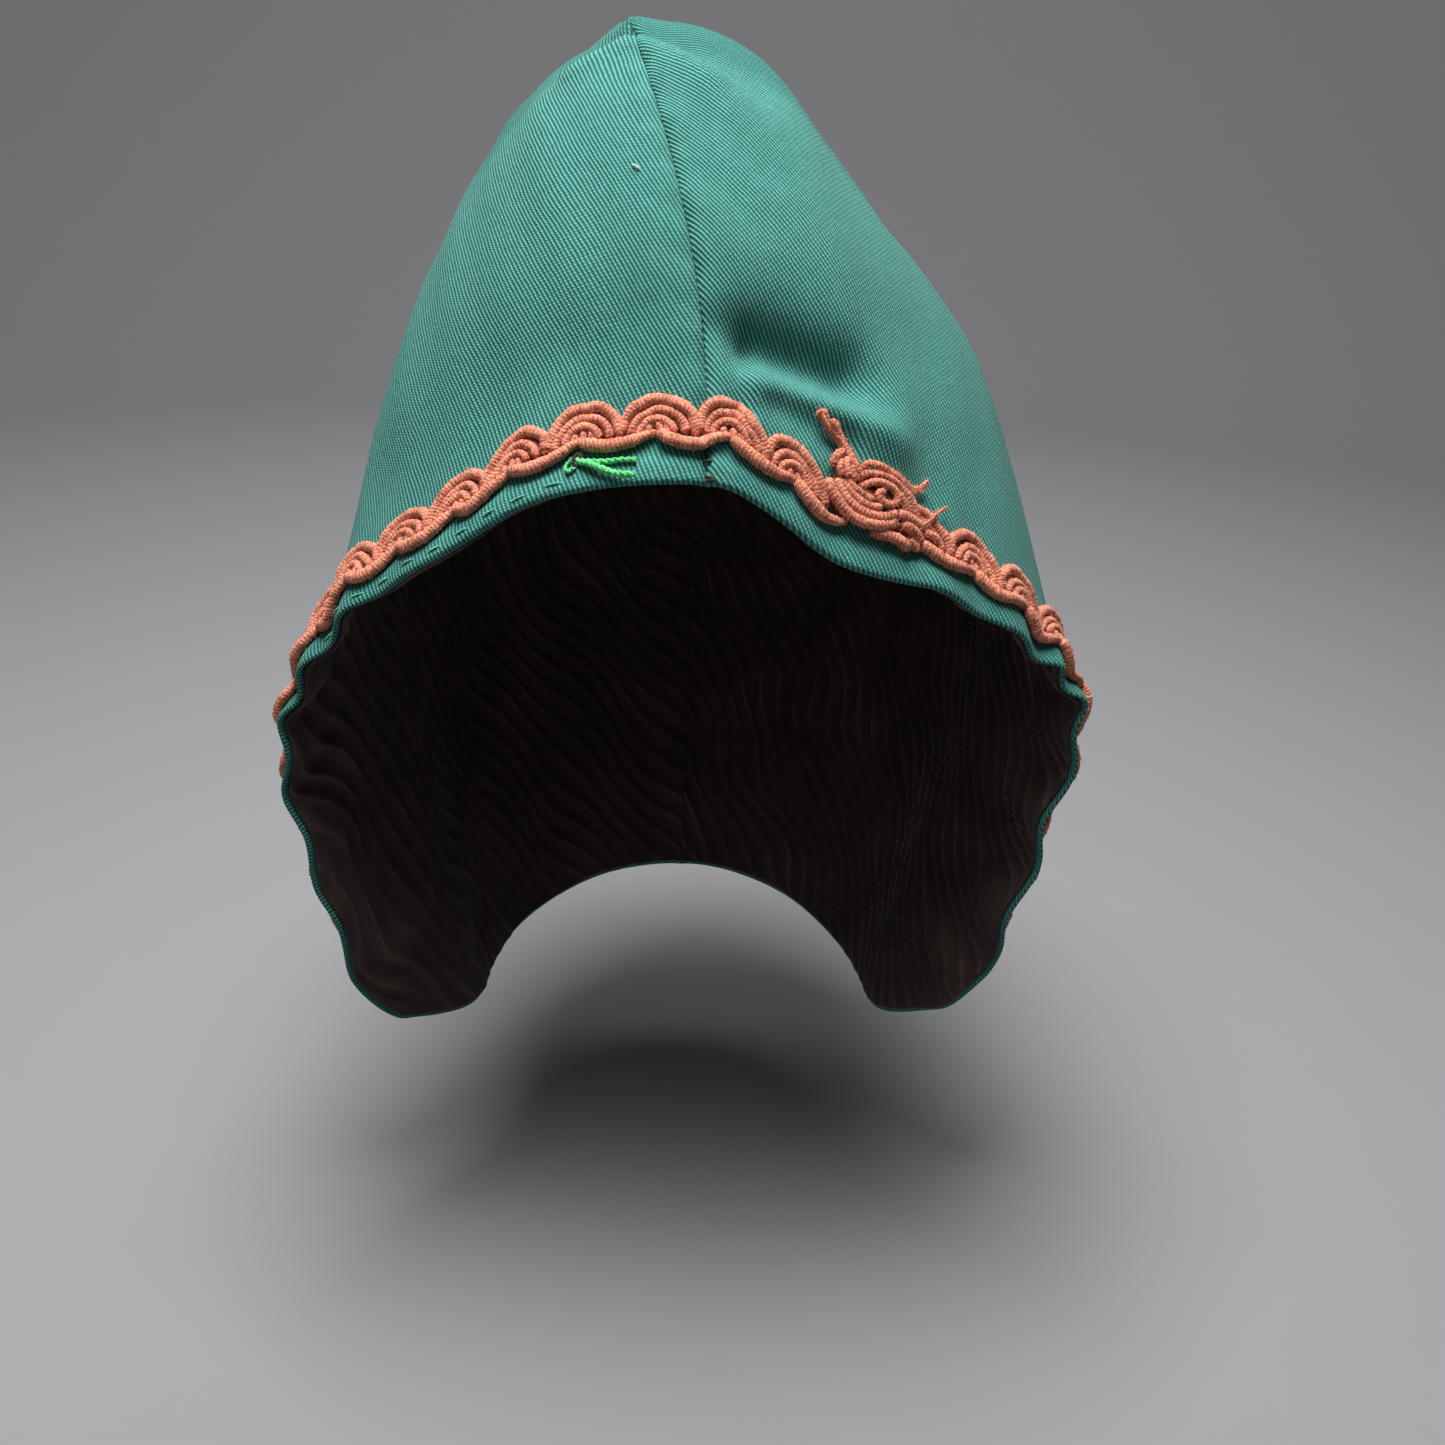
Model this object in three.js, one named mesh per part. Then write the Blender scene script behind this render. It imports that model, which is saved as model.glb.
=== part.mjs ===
// Pointed cloth hood with a dark lining and a scalloped braid, in the form it has when worn.
// Millimetres, Z up, the face opening looks along -Y, X runs to the right as seen from the front.
// The origin is the spot inside the crown where the head carries the hood.
import * as THREE from "three";

// Overall sizes
const hoodWidth = 180; // over the flared front edges at the jaw
const hoodDepth = 160; // from the brim to the back of the head
const hoodHeight = 240; // from the bottom edge to the tip
const tipLean = 21; // how far the tip leans to the left
const tipTiltReach = 30; // how far round the tip the cloth is tilted

// Cloth
const shellWall = 1.6;
const liningWall = 1.2;
const layerGap = 0.5; // between shell and lining
const seamGap = 0.5; // between the left and right panels
const hemExtra = 1.0; // added thickness of the turned hem
const hemWidth = 7;
const liningInset = 3; // lining edge set back from the shell edge
const foldWidth = 10;
const foldDepth = 3;
const edgeWave = 1.3; // height of the puckers along the front edge
const edgeWavePitch = 24;
const edgeWaveReach = 12;

// Braid
const braidLow = 3.5; // from the centre line down to the thick lower cord
const braidHigh = 4.9; // from the centre line up to the top of a scallop
const braidNotch = 2.4; // from the centre line up to a notch between scallops
const braidThick = 2.4;
const braidPitch = 15; // one scallop
const braidShift = 6.3; // from the left end to the top of the first scallop
const trimGap = 0.7; // between the trim and the cloth below it
const knotLength = 26;
const knotWidth = 15;
const knotHeight = 4.6;
const knotPetal = 0.07; // how far its five lobes stand out, as a share
const looseEndPlace = 8.5; // before the knot's middle, along the braid
const looseEndLength = 11;
const looseEndWide = 4;
const looseEndThick = 2;
const strandLength = 13;
const strandThick = 2.2;

// Sections from the centre seam (first row) round to the bottom edge (last row).
// x in shares of half the width, y in shares of the depth behind the brim, z in shares of the height
// above the bottom. edge: front edge. side: widest place. back: centre back seam. round: how far the
// section runs square to the back seam, as a share of its side x.
const sectionColumns = [
  "edgeY", "edgeXL", "edgeZL", "edgeXR", "edgeZR", "sideXL", "sideXR", "sideY", "sideZ",
  "backY", "backZ", "round",
];
const sectionRows = [
  [0.0, 0.0, 0.635, 0.0, 0.635, 0.0, 0.0, 0.28, 0.915, 0.5, 0.997, 1.2],
  [0.005, 0.33, 0.62, 0.31, 0.57, 0.265, 0.275, 0.31, 0.89, 0.7, 0.955, 1.2],
  [0.03, 0.61, 0.555, 0.55, 0.543, 0.56, 0.485, 0.36, 0.8, 0.84, 0.85, 0.85],
  [0.065, 0.815, 0.497, 0.78, 0.49, 0.78, 0.725, 0.41, 0.69, 0.93, 0.72, 0.65],
  [0.095, 0.945, 0.43, 0.895, 0.452, 0.875, 0.865, 0.45, 0.56, 0.98, 0.58, 0.6],
  [0.11, 1.02, 0.368, 0.968, 0.402, 0.885, 0.89, 0.46, 0.42, 0.99, 0.44, 0.6],
  [0.125, 1.01, 0.27, 0.94, 0.297, 0.83, 0.81, 0.46, 0.27, 0.93, 0.28, 0.6],
  [0.135, 0.94, 0.155, 0.88, 0.18, 0.72, 0.7, 0.44, 0.11, 0.83, 0.12, 0.6],
  [0.185, 0.87, 0.012, 0.82, 0.05, 0.62, 0.6, 0.42, -0.045, 0.76, 0.0, 0.6],
];
const sections = sectionRows.map((row) => {
  return Object.fromEntries(sectionColumns.map((name, i) => [name, row[i]]));
});

// Columns whose mirror image runs smoothly over the centre seam
const evenColumns = new Set(["edgeY", "edgeZL", "edgeZR", "sideY", "sideZ"]);

// Dents (negative) and raised folds (positive), each along a line from one place to another.
// Places in shares of half the width, the depth and the height; wide and deep in shares of the
// fold sizes. Right panel has side 1, left panel side -1.
const foldRows = [
  ["hollow beside the seam", 1, [0.1, 0.115, 0.738], [0.36, 0.125, 0.715], 0.8, -1.5],
  ["slope over the hollow", 1, [0.2, 0.17, 0.765], [0.45, 0.2, 0.745], 1.2, -0.5],
  ["short upright crease", 1, [0.085, 0.112, 0.73], [0.07, 0.07, 0.69], 0.4, -0.5],
  ["ridge under the hollow", 1, [0.12, 0.09, 0.708], [0.43, 0.106, 0.664], 0.55, 0.7],
  ["left slanting hollow", -1, [0.72, 0.165, 0.6], [0.3, 0.08, 0.7], 1.7, -0.8],
  ["upper wrinkle", 1, [0.04, 0.3, 0.925], [0.2, 0.24, 0.875], 0.6, -0.35],
  ["lower wrinkle", 1, [0.03, 0.23, 0.885], [0.17, 0.18, 0.84], 0.6, -0.35],
  ["ridge before the tip, left", -1, [0.17, 0.395, 0.945], [0.0, 0.39, 0.972], 0.9, 0.3],
  ["ridge before the tip, right", 1, [0.0, 0.39, 0.972], [0.15, 0.34, 0.945], 0.9, 0.3],
  ["crease under the tip, left", -1, [0.17, 0.47, 0.96], [0.0, 0.46, 0.988], 0.9, -0.5],
  ["crease under the tip, right", 1, [0.0, 0.46, 0.988], [0.22, 0.41, 0.95], 0.9, -0.5],
];
const folds = foldRows.map(([name, side, from, to, wide, deep]) => {
  return { name, side, from, to, wide, deep };
});

// Distance of the braid's centre line from the front edge, in shares of the hem width,
// from the centre seam (first) to the bottom edge (last)
const braidBackLeft = [1.85, 1.85, 1.55, 1.5, 1.4, 1.3, 1.3, 1.3, 1.3];
const braidBackRight = [1.85, 1.75, 1.7, 1.5, 1.35, 1.3, 1.3, 1.3, 1.3];

// The lean starts at this share of the height and grows by this power
const leanFrom = 0.66;
const leanPower = 1.9;

// Round the tip the right side stands this much higher for each millimetre from the seam, and
// the left side as much lower
const tipTilt = 0.3;

// Where the head touches, as a share of the first section from brim to tip
const crownPlace = 0.66;

// Knot place on the right panel: share of the way from seam to bottom edge
const knotPlace = 0.172;
const braidEnd = 0.965;

// Grid of each panel
const stepsAround = 16;
const stepsDown = 34;
const gridPower = 1.3; // above 1 the steps are shorter near the front edge

function clamp(value, low, high) {
  return Math.min(high, Math.max(low, value));
}

function smooth(t) {
  const c = clamp(t, 0, 1);
  return c * c * (3 - 2 * c);
}

// Cubic curve through equally spaced values
function throughValues(values, share, even) {
  const last = values.length - 1;
  const x = clamp(share, 0, 1) * last;
  const i = Math.min(Math.floor(x), last - 1);
  const t = x - i;
  const slope = (k) => {
    if (k === 0) return even ? 0 : values[1] - values[0];
    if (k === last) return values[last] - values[last - 1];
    return (values[k + 1] - values[k - 1]) / 2;
  };
  const a = 2 * t ** 3 - 3 * t ** 2 + 1;
  const b = t ** 3 - 2 * t ** 2 + t;
  const c = -2 * t ** 3 + 3 * t ** 2;
  const d = t ** 3 - t ** 2;
  return a * values[i] + b * slope(i) + c * values[i + 1] + d * slope(i + 1);
}

function sectionAt(v) {
  const row = {};
  for (const key of Object.keys(sections[0])) {
    row[key] = throughValues(sections.map((s) => s[key]), v, evenColumns.has(key));
  }
  return row;
}

function cubicBetween(a, b, c, d, t) {
  const s = 1 - t;
  const p = new THREE.Vector3();
  p.addScaledVector(a, s ** 3);
  p.addScaledVector(b, 3 * s ** 2 * t);
  p.addScaledVector(c, 3 * s * t ** 2);
  p.addScaledVector(d, t ** 3);
  return p;
}

// Five places that steer one section: front edge, widest place, back seam and the curve handles
const steerCache = new Map();
function steer(side, v) {
  const key = side + ":" + v;
  if (steerCache.has(key)) return steerCache.get(key);
  const row = sectionAt(v);
  const half = hoodWidth / 2;
  const right = side > 0;
  const edge = new THREE.Vector3(
    (right ? row.edgeXR : row.edgeXL) * half,
    row.edgeY * hoodDepth,
    (right ? row.edgeZR : row.edgeZL) * hoodHeight,
  );
  const sideX = (right ? row.sideXR : row.sideXL) * half;
  const wide = new THREE.Vector3(sideX, row.sideY * hoodDepth, row.sideZ * hoodHeight);
  const back = new THREE.Vector3(0, row.backY * hoodDepth, row.backZ * hoodHeight);
  const along = new THREE.Vector3(0, back.y - edge.y, back.z - edge.z).normalize();
  const first = wide.distanceTo(edge);
  const second = back.distanceTo(wide);
  const made = {
    edge,
    wide,
    back,
    edgeHandle: edge.clone().lerp(wide, 0.33),
    wideFront: wide.clone().addScaledVector(along, -0.38 * first),
    wideBack: wide.clone().addScaledVector(along, 0.42 * second),
    backHandle: back.clone().add(new THREE.Vector3(sideX * row.round, 0, 0)),
    share: first / (first + second),
  };
  steerCache.set(key, made);
  return made;
}

// Smooth form of one side without folds; x is the distance from the middle
function plainPoint(side, u, v) {
  const s = steer(side, v);
  if (u <= s.share) {
    return cubicBetween(s.edge, s.edgeHandle, s.wideFront, s.wide, u / s.share);
  }
  return cubicBetween(s.wide, s.wideBack, s.backHandle, s.back, (u - s.share) / (1 - s.share));
}

function normalOf(pointAt, u, v) {
  const step = 0.002;
  const u0 = clamp(u - step, 0, 1);
  const u1 = clamp(u + step, 0, 1);
  const v0 = clamp(v - step, 0, 1);
  const v1 = clamp(v + step, 0, 1);
  const du = pointAt(u1, v).sub(pointAt(u0, v));
  const dv = pointAt(u, v1).sub(pointAt(u, v0));
  return dv.cross(du).normalize();
}

function foldLift(side, p) {
  let lift = 0;
  const half = hoodWidth / 2;
  for (const fold of folds) {
    if (fold.side !== side) continue;
    const a = new THREE.Vector3(fold.from[0] * half, fold.from[1] * hoodDepth, fold.from[2] * hoodHeight);
    const b = new THREE.Vector3(fold.to[0] * half, fold.to[1] * hoodDepth, fold.to[2] * hoodHeight);
    const near = new THREE.Line3(a, b).closestPointToPoint(p, true, new THREE.Vector3());
    const away = near.distanceTo(p) / (fold.wide * foldWidth);
    lift += fold.deep * foldDepth * Math.exp(-away * away);
  }
  return lift;
}

// Distance from the front edge to each of a row of places on a section
const reachSteps = 48;
const reachShare = 0.4;
const reachCache = new Map();
function reaches(side, v) {
  const key = side + ":" + v;
  if (reachCache.has(key)) return reachCache.get(key);
  const list = [0];
  let last = plainPoint(side, 0, v);
  for (let i = 1; i <= reachSteps; i += 1) {
    const next = plainPoint(side, (i / reachSteps) * reachShare, v);
    list.push(list[i - 1] + next.distanceTo(last));
    last = next;
  }
  reachCache.set(key, list);
  return list;
}

function shareAtReach(side, v, reach) {
  const list = reaches(side, v);
  let i = 1;
  while (i < reachSteps && list[i] < reach) i += 1;
  const part = (reach - list[i - 1]) / (list[i] - list[i - 1]);
  return ((i - 1 + part) / reachSteps) * reachShare;
}

function reachAtShare(side, v, u) {
  const list = reaches(side, v);
  const x = clamp(u / reachShare, 0, 1) * reachSteps;
  const i = Math.min(Math.floor(x), reachSteps - 1);
  return list[i] + (list[i + 1] - list[i]) * (x - i);
}

// Length of the front edge, for the puckers
const edgeLength = (() => {
  let sum = 0;
  let last = plainPoint(-1, 0, 0);
  for (let i = 1; i <= 60; i += 1) {
    const next = plainPoint(-1, 0, i / 60);
    sum += next.distanceTo(last);
    last = next;
  }
  return sum;
})();

function edgeLift(side, u, v) {
  const reach = reachAtShare(side, v, u);
  const fade = Math.exp(-((reach / edgeWaveReach) ** 2));
  const grow = smooth((v - 0.12) / 0.3);
  const turns = (edgeLength / edgeWavePitch) * v;
  return edgeWave * fade * grow * Math.sin(2 * Math.PI * turns + (side > 0 ? 1.1 : 0));
}

// Outer face of the cloth with its folds
function clothPoint(side, u, v) {
  const p = plainPoint(side, u, v);
  const n = normalOf((a, b) => plainPoint(side, a, b), u, v);
  const lift = foldLift(side, p) + edgeLift(side, u, v);
  return p.addScaledVector(stackDirection(n, p), lift);
}

// Layers are stacked square to the cloth. Near the centre seam they are stacked within the seam's
// plane, so left and right stay mirror images, and near the tip away from the middle of the head.
const seamBlend = 9;
const tipBlend = 20;
const headMiddle = new THREE.Vector3(0, 0.42 * hoodDepth, 0.6 * hoodHeight);
const tip = plainPoint(1, 1, 0);
function stackDirection(n, p) {
  const outward = p.clone().sub(headMiddle).normalize();
  const nearTip = Math.exp(-((p.distanceTo(tip) / tipBlend) ** 2));
  const direction = n.clone().addScaledVector(outward, nearTip);
  direction.x *= smooth(p.x / seamBlend);
  direction.normalize();
  return direction.divideScalar(Math.max(0.6, direction.dot(n)));
}

function leanAndPlace(side, p) {
  const above = Math.max(0, (p.z / hoodHeight - leanFrom) / (1 - leanFrom));
  const x = side * (p.x + seamGap / 2) - tipLean * above ** leanPower;
  const nearTip = Math.exp(-((p.distanceTo(tip) / tipTiltReach) ** 2));
  return new THREE.Vector3(x, p.y, p.z + side * Math.max(0, p.x) * tipTilt * nearTip);
}

// The outer face at a place and the direction in which layers are stacked there
const spotCache = new Map();
function spot(side, u, v) {
  const key = side + ":" + u + ":" + v;
  if (!spotCache.has(key)) {
    const p = clothPoint(side, u, v);
    const n = normalOf((a, b) => clothPoint(side, a, b), u, v);
    spotCache.set(key, { p, direction: stackDirection(n, p) });
  }
  return spotCache.get(key);
}

// A place on the hood: lift is the height above the outer face, minus is inside
function rawPlace(side, u, v, lift) {
  const { p, direction } = spot(side, u, v);
  return leanAndPlace(side, p.clone().addScaledVector(direction, lift));
}

const wholeWall = shellWall + layerGap + liningWall;

// The seam leans past the middle of the head, so the head touches the right panel beside it
const crown = (() => {
  let low = 0;
  let high = 0.2;
  for (let i = 0; i < 30; i += 1) {
    const middle = (low + high) / 2;
    if (rawPlace(1, crownPlace, middle, -wholeWall).x < 0) low = middle;
    else high = middle;
  }
  return rawPlace(1, crownPlace, low, -wholeWall);
})();

function place(side, u, v, lift) {
  return rawPlace(side, u, v, lift).sub(crown);
}

function hemLift(reach) {
  return hemExtra * (1 - smooth((reach - hemWidth * 0.5) / (hemWidth * 0.5)));
}

function meshFrom(points, faces, name, color) {
  const geometry = new THREE.BufferGeometry();
  const flat = points.flatMap((p) => [p.x, p.y, p.z]);
  geometry.setAttribute("position", new THREE.Float32BufferAttribute(flat, 3));
  geometry.setIndex(faces.flat());
  geometry.computeVertexNormals();
  const material = new THREE.MeshStandardMaterial({ color, roughness: 0.9 });
  const mesh = new THREE.Mesh(geometry, material);
  mesh.name = name;
  return mesh;
}

// Closed panel from an outer and an inner face given as grids of rows
function panelMesh(side, outer, inner, name, color) {
  const rows = outer.length;
  const columns = outer[0].length;
  const points = [...outer.flat(), ...inner.flat()];
  const half = rows * columns;
  const faces = [];
  const quad = (a, b, c, d) => {
    if (side > 0) faces.push([a, b, c], [a, c, d]);
    else faces.push([c, b, a], [d, c, a]);
  };
  const at = (r, c) => r * columns + c;
  for (let r = 0; r < rows - 1; r += 1) {
    for (let c = 0; c < columns - 1; c += 1) {
      quad(at(r, c), at(r + 1, c), at(r + 1, c + 1), at(r, c + 1));
      quad(half + at(r, c), half + at(r, c + 1), half + at(r + 1, c + 1), half + at(r + 1, c));
    }
  }
  for (let r = 0; r < rows - 1; r += 1) {
    quad(at(r, 0), half + at(r, 0), half + at(r + 1, 0), at(r + 1, 0));
    const c = columns - 1;
    quad(at(r, c), at(r + 1, c), half + at(r + 1, c), half + at(r, c));
  }
  for (let c = 0; c < columns - 1; c += 1) {
    quad(at(0, c), at(0, c + 1), half + at(0, c + 1), half + at(0, c));
    const r = rows - 1;
    quad(at(r, c), half + at(r, c), half + at(r, c + 1), at(r, c + 1));
  }
  return meshFrom(points, faces, name, color);
}

function gridShare(i) {
  return (i / stepsAround) ** gridPower;
}

// Grid of rows of places on one side, at a height that liftAt gives
function gridOf(side, liftAt) {
  const grid = [];
  for (let r = 0; r <= stepsDown; r += 1) {
    const v = r / stepsDown;
    const row = [];
    for (let c = 0; c <= stepsAround; c += 1) {
      row.push(place(side, gridShare(c), v, liftAt(gridShare(c), v)));
    }
    grid.push(row);
  }
  return grid;
}

// Outer and inner faces of the two shell panels
const outerGrids = new Map();
const innerGrids = new Map();
for (const side of [1, -1]) {
  outerGrids.set(side, gridOf(side, (u, v) => hemLift(reachAtShare(side, v, u))));
  innerGrids.set(side, gridOf(side, () => -shellWall));
}

// A place on the flat faces of a grid, so that what lies on them follows them
function facePoint(grid, u, v) {
  const x = clamp(v, 0, 1) * stepsDown;
  const y = stepsAround * clamp(u, 0, 1) ** (1 / gridPower);
  const r = Math.min(Math.floor(x), stepsDown - 1);
  const c = Math.min(Math.floor(y), stepsAround - 1);
  const a = x - r;
  const b = (u - gridShare(c)) / (gridShare(c + 1) - gridShare(c));
  const near = grid[r][c];
  const far = grid[r + 1][c + 1];
  const bend = a >= b ? grid[r + 1][c] : grid[r][c + 1];
  const first = a >= b ? a : b;
  const second = a >= b ? b : a;
  const p = near.clone();
  p.addScaledVector(bend.clone().sub(near), first);
  p.addScaledVector(far.clone().sub(bend), second);
  return p;
}

function shellPanel(side, name) {
  return panelMesh(side, outerGrids.get(side), innerGrids.get(side), name, 0x12594a);
}

function liningPanel(side, name) {
  const outer = [];
  const inner = [];
  const bottomInset = liningInset / edgeLength;
  for (let r = 0; r <= stepsDown; r += 1) {
    const v = r === stepsDown ? 1 - bottomInset : r / stepsDown;
    const outerRow = [];
    const innerRow = [];
    for (let c = 0; c <= stepsAround; c += 1) {
      const u = c === 0 ? shareAtReach(side, v, liningInset) : gridShare(c);
      const shellInside = facePoint(innerGrids.get(side), u, v);
      const smoothInside = place(side, u, v, -shellWall);
      const step = shellInside.sub(smoothInside);
      outerRow.push(place(side, u, v, -shellWall - layerGap).add(step));
      innerRow.push(place(side, u, v, -wholeWall).add(step));
    }
    outer.push(outerRow);
    inner.push(innerRow);
  }
  return panelMesh(side, outer, inner, name, 0x241a17);
}

// Six times the volume inside the faces; it is negative when they point inwards
function signedVolume(points, faces) {
  let sum = 0;
  for (const [a, b, c] of faces) {
    sum += points[a].dot(points[b].clone().cross(points[c]));
  }
  return sum;
}

// Closed solid through rings of points; each ring runs the same way round
function ringsMesh(rings, name, color) {
  const count = rings[0].length;
  const points = rings.flat();
  const faces = [];
  const push = (a, b, c) => faces.push([a, b, c]);
  for (let r = 0; r < rings.length - 1; r += 1) {
    for (let i = 0; i < count; i += 1) {
      const j = (i + 1) % count;
      const a = r * count;
      const b = (r + 1) * count;
      push(a + i, a + j, b + j);
      push(a + i, b + j, b + i);
    }
  }
  const middle = (ring) => {
    const m = new THREE.Vector3();
    for (const p of ring) m.add(p);
    return m.divideScalar(ring.length);
  };
  const start = points.length;
  points.push(middle(rings[0]));
  const end = points.length;
  points.push(middle(rings[rings.length - 1]));
  const lastRing = (rings.length - 1) * count;
  for (let i = 0; i < count; i += 1) {
    const j = (i + 1) % count;
    push(start, j, i);
    push(end, lastRing + i, lastRing + j);
  }
  if (signedVolume(points, faces) < 0) {
    for (const face of faces) face.reverse();
  }
  return meshFrom(points, faces, name, color);
}

function hoodSide(s) {
  return s < 0 ? -1 : 1;
}

function braidReach(s) {
  return throughValues(s < 0 ? braidBackLeft : braidBackRight, Math.abs(s), true) * hemWidth;
}

// Place beside the braid's centre line: across runs away from the front edge, lift off the cloth
function trimPlace(s, across, lift) {
  const side = hoodSide(s);
  const v = Math.abs(s);
  const reach = braidReach(s) + across;
  const u = shareAtReach(side, v, reach);
  const rise = place(side, u, v, trimGap + lift).sub(place(side, u, v, 0));
  return facePoint(outerGrids.get(side), u, v).add(rise);
}

// Lengths along the braid's centre line from the left end to the right end
const braidSteps = 260;
const braidLengths = (() => {
  const list = [0];
  let last = trimPlace(-braidEnd, 0, 0);
  for (let i = 1; i <= braidSteps; i += 1) {
    const next = trimPlace(-braidEnd + (2 * braidEnd * i) / braidSteps, 0, 0);
    list.push(list[i - 1] + next.distanceTo(last));
    last = next;
  }
  return list;
})();

function braidShareAt(length) {
  let i = 1;
  while (i < braidSteps && braidLengths[i] < length) i += 1;
  const part = (length - braidLengths[i - 1]) / (braidLengths[i] - braidLengths[i - 1]);
  return -braidEnd + (2 * braidEnd * (i - 1 + part)) / braidSteps;
}

function braidLengthAt(s) {
  const x = ((s + braidEnd) / (2 * braidEnd)) * braidSteps;
  const i = clamp(Math.floor(x), 0, braidSteps - 1);
  return braidLengths[i] + (braidLengths[i + 1] - braidLengths[i]) * (x - i);
}

function braidRing(length) {
  const s = braidShareAt(length);
  const wave = Math.abs(Math.cos((Math.PI * (length - braidShift)) / braidPitch));
  const high = braidNotch + (braidHigh - braidNotch) * Math.sqrt(wave);
  const low = braidLow;
  const t = braidThick;
  const outline = [
    [-low, 0.4 * t],
    [-low * 0.8, t],
    [-low * 0.3, 0.8 * t],
    [high * 0.7, 0.85 * t],
    [high, 0.4 * t],
    [high * 0.85, 0],
    [high * 0.42, 0],
    [0, 0],
    [-low * 0.4, 0],
    [-low * 0.8, 0],
  ];
  return outline.map(([across, lift]) => trimPlace(s, across, lift));
}

function braidRun(start, end, name) {
  const count = Math.round((end - start) / (braidPitch / 5));
  const rings = [];
  for (let i = 0; i <= count; i += 1) {
    rings.push(braidRing(start + ((end - start) * i) / count));
  }
  return ringsMesh(rings, name, 0xa8583c);
}

const knotLengthAlong = braidLengthAt(knotPlace);

// Place near the knot: along and across in millimetres from its middle
function knotSpot(along, across, lift) {
  return trimPlace(braidShareAt(knotLengthAlong + along), across, lift);
}

function knotMesh() {
  const around = 24;
  const levels = [
    [0.35, 0.0],
    [0.9, 0.0],
    [1.0, 0.35],
    [0.9, 0.75],
    [0.62, 1.0],
    [0.3, 0.92],
  ];
  const rings = levels.map(([spread, rise]) => {
    const ring = [];
    for (let i = 0; i < around; i += 1) {
      const angle = (2 * Math.PI * i) / around;
      const petal = 1 + knotPetal * Math.cos(5 * angle);
      const along = (knotLength / 2) * spread * petal * Math.cos(angle);
      const across = (knotWidth / 2) * spread * petal * Math.sin(angle);
      const lump = 1 + 0.12 * Math.sin(3 * angle + 0.5);
      ring.push(knotSpot(along, across, knotHeight * rise * lump));
    }
    return ring;
  });
  return ringsMesh(rings, "braid_knot", 0xa8583c);
}

// Half the knot's size across, at a place along it
function knotEdge(along) {
  const share = along / (knotLength / 2);
  return (knotWidth / 2) * (1 + knotPetal) * Math.sqrt(1 - share * share);
}

// Loose end of the braid, a flat brush of threads that stands up behind the knot
function looseEndMesh() {
  const root = knotEdge(looseEndPlace - looseEndWide / 4) + trimGap;
  const rings = [];
  const steps = 6;
  for (let k = 0; k <= steps; k += 1) {
    const t = k / steps;
    const across = root + looseEndLength * t;
    const along = -(looseEndPlace + 2.5 * t);
    const wide = (looseEndWide / 2) * (0.6 + 0.4 * smooth(t * 1.4));
    const thick = looseEndThick * (1 - 0.25 * t);
    const rise = 2.2 * t;
    const ring = [];
    for (let i = 0; i < 8; i += 1) {
      const angle = (2 * Math.PI * i) / 8;
      const a = along + wide * Math.cos(angle);
      const h = rise + (thick / 2) * (1 + Math.sin(angle));
      ring.push(knotSpot(a, across, h));
    }
    rings.push(ring);
  }
  return ringsMesh(rings, "braid_loose_end", 0xa8583c);
}

// Loose strand that lies beside the knot and ends in the open
function strandMesh() {
  const rings = [];
  const steps = 7;
  for (let k = 0; k <= steps; k += 1) {
    const t = k / steps;
    const along = 1 + strandLength * t;
    const across = knotEdge(0) + trimGap + strandThick / 2;
    const ring = [];
    for (let i = 0; i < 8; i += 1) {
      const angle = (2 * Math.PI * i) / 8;
      const c = across + (strandThick / 2) * Math.cos(angle);
      const h = (strandThick / 2) * (1 + Math.sin(angle));
      ring.push(knotSpot(along, c, h));
    }
    rings.push(ring);
  }
  return ringsMesh(rings, "braid_loose_strand", 0xa8583c);
}

const hood = new THREE.Group();
hood.name = "pointed_hood";
hood.add(shellPanel(1, "shell_right"));
hood.add(shellPanel(-1, "shell_left"));
hood.add(liningPanel(1, "lining_right"));
hood.add(liningPanel(-1, "lining_left"));
const knotSpan = (knotLength / 2) * (1 + knotPetal) + trimGap;
hood.add(braidRun(0, knotLengthAlong - knotSpan, "braid_long"));
hood.add(braidRun(knotLengthAlong + knotSpan, braidLengths[braidSteps], "braid_short"));
hood.add(knotMesh());
hood.add(looseEndMesh());
hood.add(strandMesh());

export default hood;
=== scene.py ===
import math

import bpy
import numpy as np
from mathutils import Matrix


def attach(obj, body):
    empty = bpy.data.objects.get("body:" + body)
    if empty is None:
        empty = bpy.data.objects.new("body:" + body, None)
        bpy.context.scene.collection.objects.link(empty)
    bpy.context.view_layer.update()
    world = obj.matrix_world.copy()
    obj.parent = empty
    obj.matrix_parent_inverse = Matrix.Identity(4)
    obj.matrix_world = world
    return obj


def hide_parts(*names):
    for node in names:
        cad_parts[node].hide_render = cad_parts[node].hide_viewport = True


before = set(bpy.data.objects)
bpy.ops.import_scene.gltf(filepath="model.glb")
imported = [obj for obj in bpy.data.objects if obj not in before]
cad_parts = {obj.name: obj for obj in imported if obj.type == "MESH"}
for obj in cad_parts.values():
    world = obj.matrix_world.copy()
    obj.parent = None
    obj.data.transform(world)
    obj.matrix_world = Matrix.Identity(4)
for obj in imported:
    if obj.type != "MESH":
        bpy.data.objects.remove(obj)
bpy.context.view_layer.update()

# Millimetres in the maths, metres in the meshes
MM = 0.001

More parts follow.
